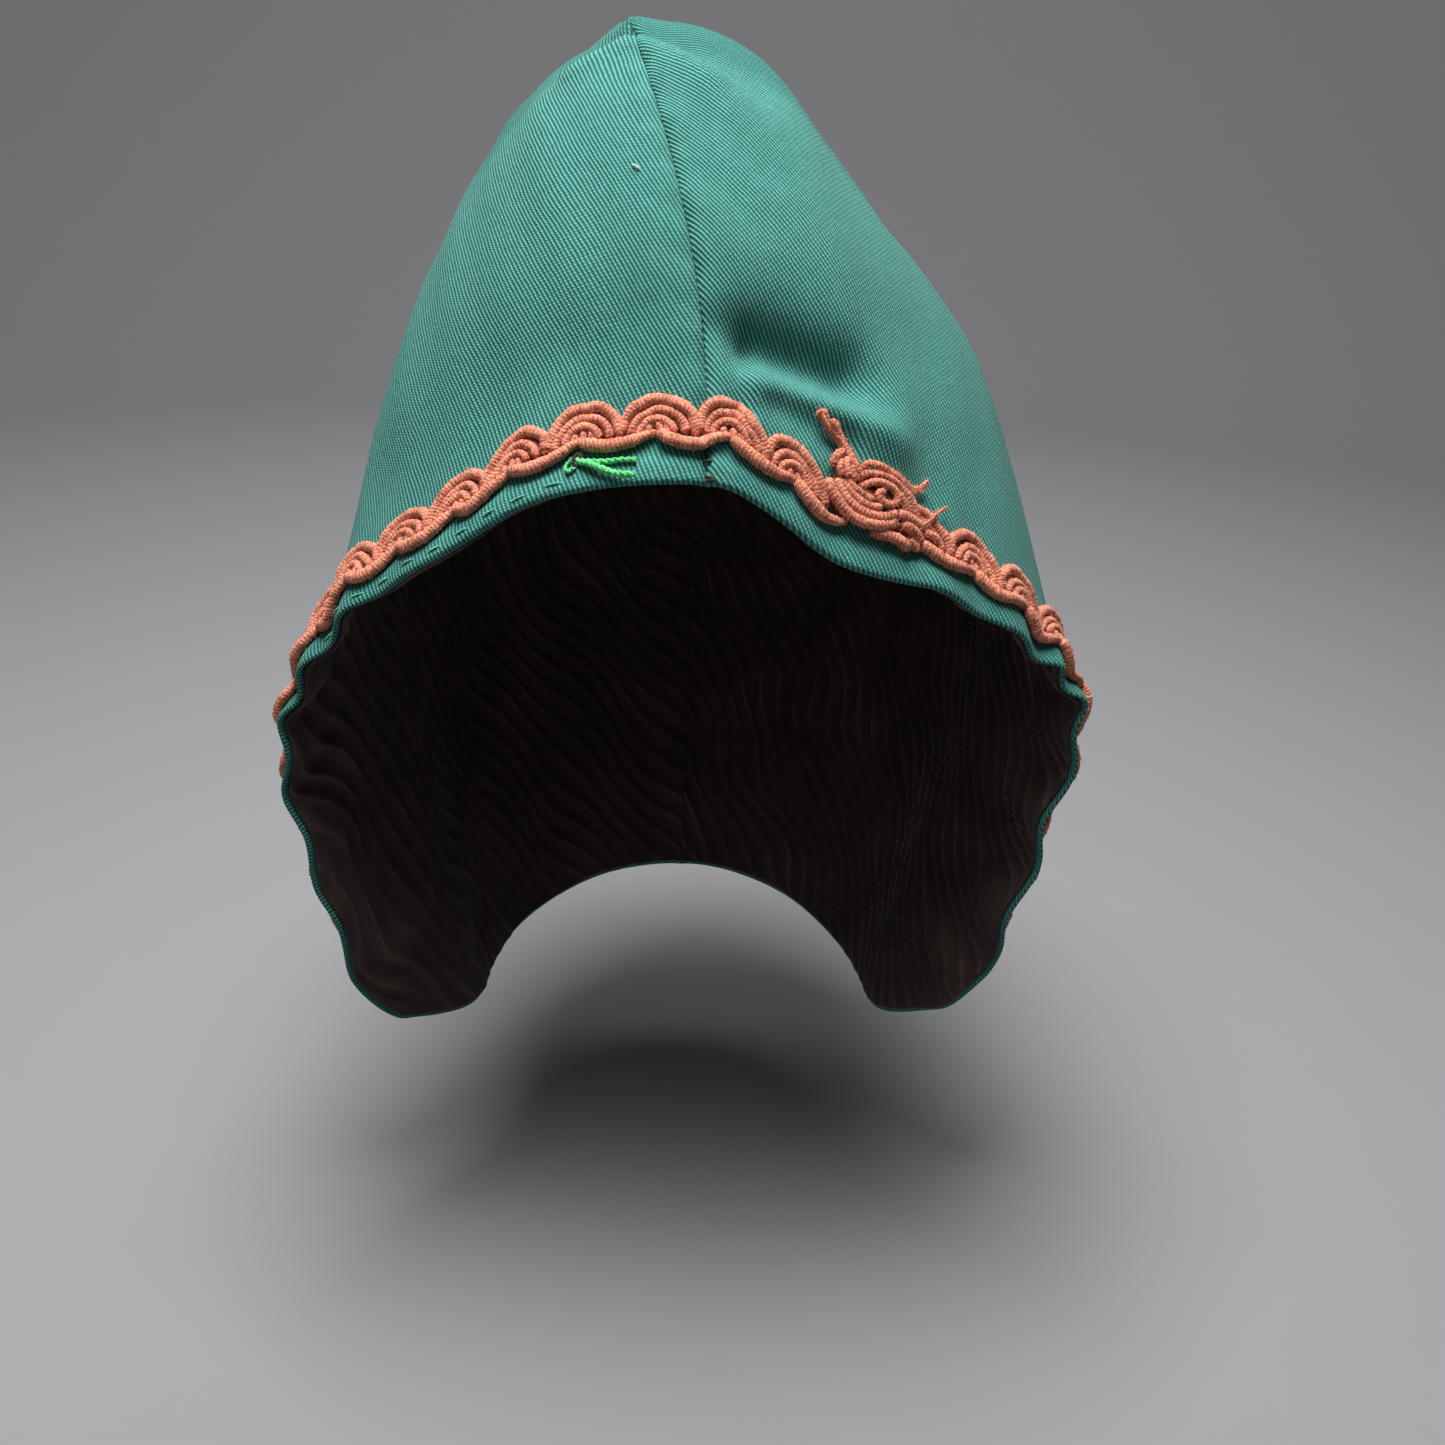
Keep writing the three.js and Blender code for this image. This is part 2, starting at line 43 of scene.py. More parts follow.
# Overall sizes and cloth, the same as in the solid model
HOOD_WIDTH = 180.0
HOOD_DEPTH = 160.0
HOOD_HEIGHT = 240.0
TIP_LEAN = 21.0
LEAN_FROM = 0.66
LEAN_POWER = 1.9
TIP_TILT = 0.3
TIP_TILT_REACH = 30.0
SHELL_WALL = 1.6
LINING_WALL = 1.2
LAYER_GAP = 0.5
HEM_EXTRA = 1.0
HEM_WIDTH = 7.0
FOLD_WIDTH = 10.0
FOLD_DEPTH = 3.0
EDGE_WAVE = 1.3
EDGE_WAVE_PITCH = 24.0
EDGE_WAVE_REACH = 12.0
EDGE_WAVE_FROM = 0.12
EDGE_WAVE_GROW = 0.3
EDGE_WAVE_SHIFT = 1.1
# Half the gap between the two sides of the solid model at the seam; here the two sides meet
SOLID_SEAM_GAP = 0.25
SEAM_CLEARANCE = -0.03
# From the lowest front corner to the mount inside the crown
CROWN = np.array([0.0, 55.167, 222.505])

# Sections from the centre seam (first) round to the bottom edge (last), in shares of half the
# width, of the depth and of the height
SECTIONS = {
    "edgeY": [0, 0.005, 0.03, 0.065, 0.095, 0.11, 0.125, 0.135, 0.185],
    "edgeXL": [0, 0.33, 0.61, 0.815, 0.945, 1.02, 1.01, 0.94, 0.87],
    "edgeZL": [0.635, 0.62, 0.555, 0.497, 0.43, 0.368, 0.27, 0.155, 0.012],
    "edgeXR": [0, 0.31, 0.55, 0.78, 0.895, 0.968, 0.94, 0.88, 0.82],
    "edgeZR": [0.635, 0.57, 0.543, 0.49, 0.452, 0.402, 0.297, 0.18, 0.05],
    "sideXL": [0, 0.265, 0.56, 0.78, 0.875, 0.885, 0.83, 0.72, 0.62],
    "sideXR": [0, 0.275, 0.485, 0.725, 0.865, 0.89, 0.81, 0.7, 0.6],
    "sideY": [0.28, 0.31, 0.36, 0.41, 0.45, 0.46, 0.46, 0.44, 0.42],
    "sideZ": [0.915, 0.89, 0.8, 0.69, 0.56, 0.42, 0.27, 0.11, -0.045],
    "backY": [0.5, 0.7, 0.84, 0.93, 0.98, 0.99, 0.93, 0.83, 0.76],
    "backZ": [0.997, 0.955, 0.85, 0.72, 0.58, 0.44, 0.28, 0.12, 0],
    "round": [1.2, 1.2, 0.85, 0.65, 0.6, 0.6, 0.6, 0.6, 0.6],
}
SECTIONS = {name: np.array(column, dtype=float) for name, column in SECTIONS.items()}
EVEN_COLUMNS = {"edgeY", "edgeZL", "edgeZR", "sideY", "sideZ"}

# Folds: side, from, to (shares), width and height as shares of the fold sizes
FOLDS = [
    (1, (0.1, 0.115, 0.738), (0.36, 0.125, 0.715), 0.8, -1.5),
    (1, (0.2, 0.17, 0.765), (0.45, 0.2, 0.745), 1.2, -0.5),
    (1, (0.085, 0.112, 0.73), (0.07, 0.07, 0.69), 0.4, -0.5),
    (1, (0.12, 0.09, 0.708), (0.43, 0.106, 0.664), 0.55, 0.7),
    (-1, (0.72, 0.165, 0.6), (0.3, 0.08, 0.7), 1.7, -0.8),
    (1, (0.04, 0.3, 0.925), (0.2, 0.24, 0.875), 0.6, -0.35),
    (1, (0.03, 0.23, 0.885), (0.17, 0.18, 0.84), 0.6, -0.35),
    (-1, (0.17, 0.395, 0.945), (0.0, 0.39, 0.972), 0.9, 0.3),
    (1, (0.0, 0.39, 0.972), (0.15, 0.34, 0.945), 0.9, 0.3),
    (-1, (0.17, 0.47, 0.96), (0.0, 0.46, 0.988), 0.9, -0.5),
    (1, (0.0, 0.46, 0.988), (0.22, 0.41, 0.95), 0.9, -0.5),
]

# Smaller folds that only show, in the same terms
SMALL_FOLDS = [
    (-1, (0.17, 0.392, 0.945), (0.0, 0.385, 0.963), 0.4, 0.4),
    (1, (0.0, 0.385, 0.963), (0.14, 0.335, 0.94), 0.4, 0.4),
    (-1, (0.14, 0.49, 0.958), (0.0, 0.468, 0.985), 0.55, -0.75),
    (1, (0.0, 0.468, 0.985), (0.24, 0.37, 0.93), 0.55, -0.75),
    (1, (0.11, 0.11, 0.735), (0.32, 0.115, 0.712), 0.5, -1.15),
    (1, (0.12, 0.085, 0.712), (0.4, 0.102, 0.672), 0.3, 0.4),
    (1, (0.17, 0.072, 0.694), (0.31, 0.08, 0.668), 0.4, -0.8),
    (1, (0.082, 0.112, 0.73), (0.068, 0.065, 0.69), 0.26, -0.9),
    (1, (0.055, 0.1, 0.735), (0.05, 0.06, 0.695), 0.3, 0.3),
    (1, (0.105, 0.075, 0.735), (0.1, 0.045, 0.685), 0.22, 0.35),
    (-1, (0.16, 0.03, 0.66), (0.12, 0.09, 0.76), 0.7, -0.22),
    (-1, (0.45, 0.045, 0.6), (0.3, 0.1, 0.7), 0.5, 0.22),
    (-1, (0.62, 0.08, 0.54), (0.5, 0.13, 0.63), 0.45, -0.2),
    (1, (0.5, 0.06, 0.57), (0.55, 0.14, 0.66), 0.6, -0.2),
    (1, (0.7, 0.09, 0.52), (0.68, 0.17, 0.6), 0.5, 0.16),
]

# Braid, the same as in the solid model
BRAID_BACK = {
    -1: np.array([1.85, 1.85, 1.55, 1.5, 1.4, 1.3, 1.3, 1.3, 1.3]),
    1: np.array([1.85, 1.75, 1.7, 1.5, 1.35, 1.3, 1.3, 1.3, 1.3]),
}
BRAID_PITCH = 15.0
BRAID_END = 0.965
KNOT_PLACE = 0.172

# How the layers are stacked near the tip and the seam
TIP_BLEND = 20.0
SEAM_BLEND = 9.0
LEAST_FACING = 0.6
HOLLOW_MIDDLE = np.array([0.0, 0.42 * HOOD_DEPTH, 0.6 * HOOD_HEIGHT])

# Height and width of small forms: cloth drawn up at the very tip, the groove at the seams with
# puckers beside it, the cloth pressed down under the braid, and puckers on both sides of it
NIB = 1.3
NIB_REACH = 3.2
SEAM_GROOVE = 1.0
SEAM_GROOVE_WIDTH = 1.6
SEAM_PUCKER = 0.16
SEAM_PUCKER_WIDTH = 5.0
BRAID_PRESS = 0.35
BRAID_PRESS_WIDTH = 3.5
BRAID_PUCKERS_AWAY = 7.0
BACK_PUCKER = 0.28
BACK_PUCKER_WIDTH = 5.5
BRIM_PUCKER = 0.2
BRIM_PUCKER_WIDTH = 3.0

# Handles of the two curves of a section, as shares of the distance that each one spans
FRONT_HANDLE = 0.33
HANDLE_BEFORE_WIDEST = 0.38
HANDLE_AFTER_WIDEST = 0.42

# The hem is less thick past the middle of the brim: by how much, and from where over what share
HEM_LESS = 0.75
HEM_LESS_FROM = 0.16
HEM_LESS_OVER = 0.26


def smooth(t):
    """3 t^2 - 2 t^3, held at 0 below 0 and at 1 above 1."""
    c = np.clip(t, 0, 1)
    return c * c * (3 - 2 * c)


def length_of(vectors):
    """Length of each vector, held as a last axis of 1."""
    return np.linalg.norm(vectors, axis=-1, keepdims=True)


def length_gone(paths):
    """Length from the start to each point, for paths whose points are the last axis but one."""
    steps = length_of(np.diff(paths, axis=-2))[..., 0]
    return np.concatenate([np.zeros(steps.shape[:-1] + (1,)), np.cumsum(steps, axis=-1)], axis=-1)


def hermite(start, end, start_slope, end_slope, t):
    """Cubic Hermite step: (2t^3 - 3t^2 + 1) start + (t^3 - 2t^2 + t) start slope
    + (3t^2 - 2t^3) end + (t^3 - t^2) end slope."""
    return (
        (2 * t**3 - 3 * t**2 + 1) * start
        + (t**3 - 2 * t**2 + t) * start_slope
        + (-2 * t**3 + 3 * t**2) * end
        + (t**3 - t**2) * end_slope
    )


def through(values, share, even=False):
    """Cubic Hermite curve through equally spaced values; a slope is half the difference of the
    two neighbours, and at the first value of an even column it is 0."""
    last = len(values) - 1
    slopes = np.gradient(values)
    if even:
        slopes[0] = 0
    x = np.clip(share, 0, 1) * last
    i = np.minimum(x.astype(int), last - 1)
    return hermite(values[i], values[i + 1], slopes[i], slopes[i + 1], x - i)


def cubic(a, b, c, d, t):
    """Bezier curve: (1-t)^3 a + 3 (1-t)^2 t b + 3 (1-t) t^2 c + t^3 d."""
    t = t[..., None]
    s = 1 - t
    return s**3 * a + 3 * s**2 * t * b + 3 * s * t**2 * c + t**3 * d


def plain_point(side, u, v):
    """Form of one side without folds. At v a section runs from the front edge over the widest
    place to the back seam, as two Bezier curves; u is the share of the way along it."""
    u, v = np.broadcast_arrays(np.asarray(u, float), np.asarray(v, float))
    column = {name: through(values, v, name in EVEN_COLUMNS) for name, values in SECTIONS.items()}
    hand = "R" if side > 0 else "L"
    half = HOOD_WIDTH / 2
    side_x = column["sideX" + hand] * half
    edge_x = column["edgeX" + hand] * half
    edge_z = column["edgeZ" + hand] * HOOD_HEIGHT
    edge = np.stack([edge_x, column["edgeY"] * HOOD_DEPTH, edge_z], -1)
    wide = np.stack([side_x, column["sideY"] * HOOD_DEPTH, column["sideZ"] * HOOD_HEIGHT], -1)
    back = np.stack([0 * v, column["backY"] * HOOD_DEPTH, column["backZ"] * HOOD_HEIGHT], -1)
    along = (back - edge) * np.array([0, 1, 1])
    along /= length_of(along)
    first = length_of(wide - edge)
    second = length_of(back - wide)
    share = (first / (first + second))[..., 0]
    handle = back.copy()
    handle[..., 0] += side_x * column["round"]
    leaving = edge + (wide - edge) * FRONT_HANDLE
    arriving = wide - HANDLE_BEFORE_WIDEST * first * along
    before = cubic(edge, leaving, arriving, wide, np.clip(u / share, 0, 1))
    leaving = wide + HANDLE_AFTER_WIDEST * second * along
    after = cubic(wide, leaving, handle, back, np.clip((u - share) / (1 - share), 0, 1))
    return np.where((u <= share)[..., None], before, after)


def normals_of(point_at, side, u, v):
    """Unit normal of a surface from differences over two thousandths of u and v either way."""
    step = 0.002
    du = point_at(side, np.clip(u + step, 0, 1), v) - point_at(side, np.clip(u - step, 0, 1), v)
    dv = point_at(side, u, np.clip(v + step, 0, 1)) - point_at(side, u, np.clip(v - step, 0, 1))
    n = np.cross(dv, du)
    return n / np.maximum(length_of(n), 1e-12)


TIP = plain_point(1, 1.0, 0.0)


def stack_direction(n, p):
    """Direction in which layers are stacked: the normal, blended near the tip with the line
    from the middle of the hollow, and turned into the seam's plane near the seam."""
    outward = p - HOLLOW_MIDDLE
    outward /= length_of(outward)
    near_tip = np.exp(-((length_of(p - TIP) / TIP_BLEND) ** 2))
    direction = n + outward * near_tip
    direction[..., 0] *= smooth(p[..., 0] / SEAM_BLEND)
    direction /= length_of(direction)
    facing = np.sum(direction * n, -1, keepdims=True)
    return direction / np.maximum(LEAST_FACING, facing)


def fold_lift(side, p, folds):
    """Sum over the folds of height * exp(-(distance to its line / width)^2)."""
    shares = np.array([HOOD_WIDTH / 2, HOOD_DEPTH, HOOD_HEIGHT])
    lift = np.zeros(p.shape[:-1])
    for fold_side, start, end, wide, deep in folds:
        if fold_side != side:
            continue
        a = np.array(start) * shares
        line = np.array(end) * shares - a
        t = np.clip(np.sum((p - a) * line, -1) / np.sum(line * line), 0, 1)
        away = length_of(p - a - t[..., None] * line)[..., 0] / (wide * FOLD_WIDTH)
        lift += deep * FOLD_DEPTH * np.exp(-away * away)
    return lift


# Length from the front edge along each section of each side, as a table of v rows and u columns
TABLE_V = np.linspace(0, 1, 321)
TABLE_U = np.linspace(0, 1, 241)
LENGTHS = {
    side: length_gone(plain_point(side, TABLE_U[None, :], TABLE_V[:, None])) for side in (1, -1)
}
EDGE_LENGTH = float(length_gone(plain_point(-1, 0.0, np.linspace(0, 1, 61)))[-1])


def lookup(grid, row, column):
    """Catmull-Rom interpolation of a grid of values at fractional rows and columns."""
    def weights(x, count):
        """First of the four values round each place, and the share of each of the four."""
        i = np.clip(np.floor(x).astype(int), 0, count - 2)
        t = np.clip(x - i, 0, 1)
        w = [
            -0.5 * t + t**2 - 0.5 * t**3,
            1 - 2.5 * t**2 + 1.5 * t**3,
            0.5 * t + 2 * t**2 - 1.5 * t**3,
            -0.5 * t**2 + 0.5 * t**3,
        ]
        return i, w

    rows, columns = grid.shape[:2]
    # One more line on each side, carried on straight, so that the borders are met exactly
    grid = np.concatenate([2 * grid[:1] - grid[1:2], grid, 2 * grid[-1:] - grid[-2:-1]], axis=0)
    left = 2 * grid[:, :1] - grid[:, 1:2]
    right = 2 * grid[:, -1:] - grid[:, -2:-1]
    grid = np.concatenate([left, grid, right], axis=1)
    i, row_weights = weights(row, rows)
    j, column_weights = weights(column, columns)
    total = 0
    for a in range(4):
        for b in range(4):
            weight = row_weights[a] * column_weights[b]
            value = grid[i + a, j + b]
            total = total + (weight[..., None] if value.ndim > weight.ndim else weight) * value
    return total


def blend_lines(table, v):
    """The line of a table of TABLE_V rows at each v, between its two neighbours."""
    x = np.clip(v, 0, 1) * (len(TABLE_V) - 1)
    i = np.minimum(x.astype(int), len(TABLE_V) - 2)
    t = (x - i)[..., None]
    return table[i] * (1 - t) + table[i + 1] * t


def reach_at(side, u, v):
    """Distance from the front edge along the section."""
    u, v = np.broadcast_arrays(u, v)
    lines = LENGTHS[side]
    x = np.clip(v, 0, 1) * (len(TABLE_V) - 1)
    y = np.clip(u, 0, 1) * (len(TABLE_U) - 1)
    i = np.minimum(x.astype(int), len(TABLE_V) - 2)
    j = np.minimum(y.astype(int), len(TABLE_U) - 2)
    a = x - i
    b = y - j
    low = lines[i, j] * (1 - b) + lines[i, j + 1] * b
    high = lines[i + 1, j] * (1 - b) + lines[i + 1, j + 1] * b
    return low * (1 - a) + high * a


def share_at(side, v, reach):
    """The u at a distance from the front edge."""
    v, reach = np.broadcast_arrays(v, reach)
    lines = blend_lines(LENGTHS[side], v)
    j = np.clip(np.sum(lines < reach[..., None], -1), 1, len(TABLE_U) - 1)
    low = np.take_along_axis(lines, (j - 1)[..., None], -1)[..., 0]
    high = np.take_along_axis(lines, j[..., None], -1)[..., 0]
    return np.clip((j - 1 + (reach - low) / (high - low)) / (len(TABLE_U) - 1), 0, 1)


def edge_lift(side, u, v):
    """Puckers along the front edge: a sine along it that fades with the distance from it."""
    fade = np.exp(-((reach_at(side, u, v) / EDGE_WAVE_REACH) ** 2))
    grow = smooth((v - EDGE_WAVE_FROM) / EDGE_WAVE_GROW)
    turns = EDGE_LENGTH / EDGE_WAVE_PITCH * v
    shift = EDGE_WAVE_SHIFT if side > 0 else 0
    return EDGE_WAVE * fade * grow * np.sin(2 * np.pi * turns + shift)


def rough_point(side, u, v):
    """The cloth's outer face as the solid model has it."""
    p = plain_point(side, u, v)
    n = normals_of(plain_point, side, u, v)
    lift = fold_lift(side, p, FOLDS) + edge_lift(side, u, v)
    return p + stack_direction(n, p) * lift[..., None]


def lean_and_place(side, p, gap):
    """Puts one side in place: the part above two thirds of the height leans to the left, and
    round the tip the cloth is tilted so that the right side stands higher."""
    above = np.maximum(0, (p[..., 2] / HOOD_HEIGHT - LEAN_FROM) / (1 - LEAN_FROM))
    x = side * (p[..., 0] + gap) - TIP_LEAN * above**LEAN_POWER
    near_tip = np.exp(-((length_of(p - TIP)[..., 0] / TIP_TILT_REACH) ** 2))
    z = p[..., 2] + side * np.maximum(0, p[..., 0]) * TIP_TILT * near_tip
    return np.stack([x, p[..., 1], z], -1) - CROWN


# Braid's centre line: its place s runs from the left end to the right end
def braid_reach(side, v):
    """Distance of the braid's centre line from the front edge."""
    return through(BRAID_BACK[side], v, True) * HEM_WIDTH


def centre_line(s):
    """Places on the braid's centre line on the cloth of the solid model."""
    points = np.empty(s.shape + (3,))
    for side in (1, -1):
        mine = (s >= 0) == (side > 0)
        v = np.abs(s[mine])
        u = share_at(side, v, braid_reach(side, v))
        points[mine] = lean_and_place(side, rough_point(side, u, v), SOLID_SEAM_GAP)
    return points


BRAID_S = np.linspace(-BRAID_END, BRAID_END, 521)
BRAID_L = length_gone(centre_line(BRAID_S))
KNOT_AT = float(np.interp(KNOT_PLACE, BRAID_S, BRAID_L))
# Length along the braid at which a scallop is highest
SCALLOP_AT = 200.2


def small_lift(side, u, v, p):
    """Forms that only show: a groove at the seams, cloth drawn up at the tip and pressed down
    under the braid, puckers beside both, small folds, and slow waves over the whole cloth."""
    from_seam = p[..., 0]
    lift = -SEAM_GROOVE * np.exp(-((from_seam / SEAM_GROOVE_WIDTH) ** 2))
    lift += NIB * np.exp(-((length_of(p - TIP)[..., 0] / NIB_REACH) ** 2))
    puckers = np.sin(0.62 * p[..., 1] + 0.31 * p[..., 2] + side)
    lift += SEAM_PUCKER * np.exp(-((from_seam / SEAM_PUCKER_WIDTH) ** 2)) * puckers
    lift += fold_lift(side, p, SMALL_FOLDS)
    along = np.interp(side * v, BRAID_S, BRAID_L)
    across = reach_at(side, u, v) - braid_reach(side, v)
    turn = 2 * np.pi * (along - SCALLOP_AT) / BRAID_PITCH
    lift -= BRAID_PRESS * np.exp(-((across / BRAID_PRESS_WIDTH) ** 2))
    behind = np.exp(-(((across - BRAID_PUCKERS_AWAY) / BACK_PUCKER_WIDTH) ** 2))
    lift -= BACK_PUCKER * behind * np.cos(turn + 0.8 * np.sin(0.37 * turn))
    before = np.exp(-(((across + BRAID_PUCKERS_AWAY) / BRIM_PUCKER_WIDTH) ** 2))
    lift += BRIM_PUCKER * before * np.cos(0.5 * turn + 1.2)
    x, y, z = p[..., 0], p[..., 1], p[..., 2]
    waves = 0.3 * np.sin(0.16 * x + 0.08 * z + 1.3 * side) * np.sin(0.11 * y - 0.05 * z + 0.6)
    waves += 0.16 * np.sin(0.29 * x - 0.17 * z + 0.13 * y + 2.1 * side)
    waves += 0.1 * np.sin(0.41 * z + 0.22 * x - 0.2 * y)
    return lift + waves * smooth(from_seam / 12)


def cloth_point(side, u, v):
    """The cloth's outer face with every fold, before it is put in place."""
    p = plain_point(side, u, v)
    n = normals_of(plain_point, side, u, v)
    lift = fold_lift(side, p, FOLDS) + edge_lift(side, u, v) + small_lift(side, u, v, p)
    return p + stack_direction(n, p) * lift[..., None]


def cloth_frame(side, u, v):
    """Outer face and the direction in which layers are stacked there."""
    u, v = np.broadcast_arrays(np.asarray(u, float), np.asarray(v, float))
    p = cloth_point(side, u, v)
    return p, stack_direction(normals_of(cloth_point, side, u, v), p)


def hem_lift(reach, v):
    """The turned hem is thicker over half its width, most of all over the middle of the brim."""
    over = HEM_EXTRA * (1 - HEM_LESS * smooth((v - HEM_LESS_FROM) / HEM_LESS_OVER))
    return over * (1 - smooth((reach - HEM_WIDTH * 0.5) / (HEM_WIDTH * 0.5)))


def corner_start(from_bottom, radius):
    """How far the front edge is drawn back by the rounded corner at the bottom."""
    rest = np.clip(radius - from_bottom, 0, radius)
    return radius - np.sqrt(radius**2 - rest**2)


def new_piece(name, points, faces, marks=None):
    """Mesh object from points in millimetres and arrays of faces with three or four corners;
    marks are arrays of one UV pair for each corner."""
    mesh = bpy.data.meshes.new(name)
    mesh.vertices.add(len(points))
    mesh.vertices.foreach_set("co", (points * MM).astype(np.float32).ravel())
    corners = np.concatenate([f.ravel() for f in faces]).astype(np.int32)
    sizes = np.concatenate([np.full(len(f), f.shape[1]) for f in faces])
    starts = (np.cumsum(sizes) - sizes).astype(np.int32)
    mesh.loops.add(len(corners))
    mesh.loops.foreach_set("vertex_index", corners)
    mesh.polygons.add(len(starts))
    mesh.polygons.foreach_set("loop_start", starts)
    if marks is not None:
        layer = mesh.uv_layers.new(name="cloth")
        layer.data.foreach_set("uv", np.concatenate(marks).astype(np.float32).ravel())
    mesh.update(calc_edges=True)
    mesh.polygons.foreach_set("use_smooth", np.ones(len(mesh.polygons), dtype=bool))
    piece = bpy.data.objects.new(name, mesh)
    bpy.context.scene.collection.objects.link(piece)
    return piece


def grid_numbers(rows, columns):
    """Number of each place in a grid, row by row."""
    return np.arange(rows * columns).reshape(rows, columns)


# Pitch of the grids of the cloth and the lining, and the finer steps next to every edge
CLOTH_PITCH = 1.35
LINING_PITCH = 1.25
EDGE_STEPS = np.array([0, 0.12, 0.4, 0.8, 1.3, 2.0, 2.9])


def steps_between(total, pitch):
    """Distances from one edge to the other: set steps near both, even ones between."""
    start = EDGE_STEPS[-1]
    end = total - start
    count = max(2, int(round((end - start) / pitch)))
    middle = np.linspace(start, end, count + 1)[1:-1]
    return np.concatenate([EDGE_STEPS, middle, (total - EDGE_STEPS)[::-1]])


CORNER_RADIUS = 12.0
# Radius to which the rims of the cloth and the lining are rounded over
CLOTH_RIM = 1.1
LINING_RIM = 0.7
# How much thinner the shell is at the hem than further in, and over what width
HEM_THINNED = 0.6
HEM_THINNED_WIDTH = 5.0
# Distance between creases of the lining
CREASE_PITCH = 5.2
# Direction across the creases in the flat cloth of each side
CREASE_ACROSS = 0.75
CREASE_LEAN = {1: 0.66, -1: -0.4}
# Height of the creases on the face of the lining that shows, and on its hidden face
CREASE_HEIGHT = 1.8
CREASE_HEIGHT_HIDDEN = 0.4
# The lining that shows comes nearer to the rim than the solid one
LINING_SHOWN_FROM = 0.9


class Panel:
    """Grid of places on one side: v for each row, and u and the distance from the front edge
    for each row and column, with the cloth's places and stacking directions there."""

    def __init__(self, side, pitch, inset=0.0):
        self.side = side
        rows = steps_between(EDGE_LENGTH - inset, pitch)
        self.v = (rows / EDGE_LENGTH)[:, None]
        total = blend_lines(LENGTHS[side], self.v[:, 0])[:, -1:]
        middle = float(np.mean(total)) - inset
        columns = steps_between(middle, pitch)
        near = len(EDGE_STEPS)
        # Rows differ in length, so only the even steps between the edges are stretched
        start = columns[near - 1]
        end = columns[-near]
        even = (columns - start) / (end - start)
        last = total - inset - (middle - end)
        drawn = corner_start(rows[-1] - rows, CORNER_RADIUS - 0.5 * inset)[:, None]
        self.front = inset + drawn
        by_seam = columns - middle + total - inset
        between_edges = start + drawn + even * (last - start - drawn)
        inner = np.where(even > 1, by_seam, between_edges)
        self.reach = inset + np.where(even < 0, columns + drawn, inner)
        self.u = share_at(side, self.v, self.reach)
        self.u[:, -1] = 1
        self.total = total
        self.inset = inset
        self.p, self.direction = cloth_frame(side, self.u, self.v)

    def from_hem(self):
        """Distance from the front edge or the bottom edge, whichever is nearer."""
        return np.minimum(EDGE_LENGTH - self.inset - self.v * EDGE_LENGTH, self.reach - self.front)

    def thinned(self):
        """How much thinner the shell is towards the hem, where the lining is drawn out over it."""
        from_rim = self.from_hem() + self.inset
        return HEM_THINNED * np.exp(-((from_rim / HEM_THINNED_WIDTH) ** 2))

    def rim_share(self, radius):
        """0 at the rim, 1 further in than the radius, along a quarter circle between."""
        from_seams = np.minimum(self.v * EDGE_LENGTH, self.total - self.reach)
        t = np.clip(np.minimum(self.from_hem(), from_seams) / radius, 0, 1)
        return np.sqrt(np.maximum(0, 1 - (1 - t) ** 2))

    def place(self, lift):
        """The grid at a height over the outer face."""
        return lean_and_place(self.side, self.p + self.direction * lift[..., None], SEAM_CLEARANCE)

    def closed(self, name, top, bottom, radius, uv):
        """Closed sheet between two heights whose rim is rounded over to the middle height."""
        share = self.rim_share(radius)
        middle = (top + bottom) / 2
        outer = self.place(middle + (top - middle) * share)
        inner = self.place(middle + (bottom - middle) * share)
        rows, columns = outer.shape[:2]
        index = grid_numbers(rows, columns)
        under = index.copy()
        under[1:-1, 1:-1] = rows * columns + grid_numbers(rows - 2, columns - 2)
        points = np.concatenate([outer.reshape(-1, 3), inner[1:-1, 1:-1].reshape(-1, 3)])
        marks = np.concatenate([uv.reshape(-1, 2), uv[1:-1, 1:-1].reshape(-1, 2)])

        def quads(grid):
            """Faces between neighbouring places, with their four corners in turn."""
            corners = [grid[:-1, :-1], grid[1:, :-1], grid[1:, 1:], grid[:-1, 1:]]
            return np.stack(corners, -1).reshape(-1, 4)

        over, below = quads(index), quads(under)[:, ::-1]
        faces = np.concatenate([over, below])
        if self.side < 0:
            faces = faces[:, ::-1]
        return new_piece(name, points, [faces], [marks[faces.ravel()]])


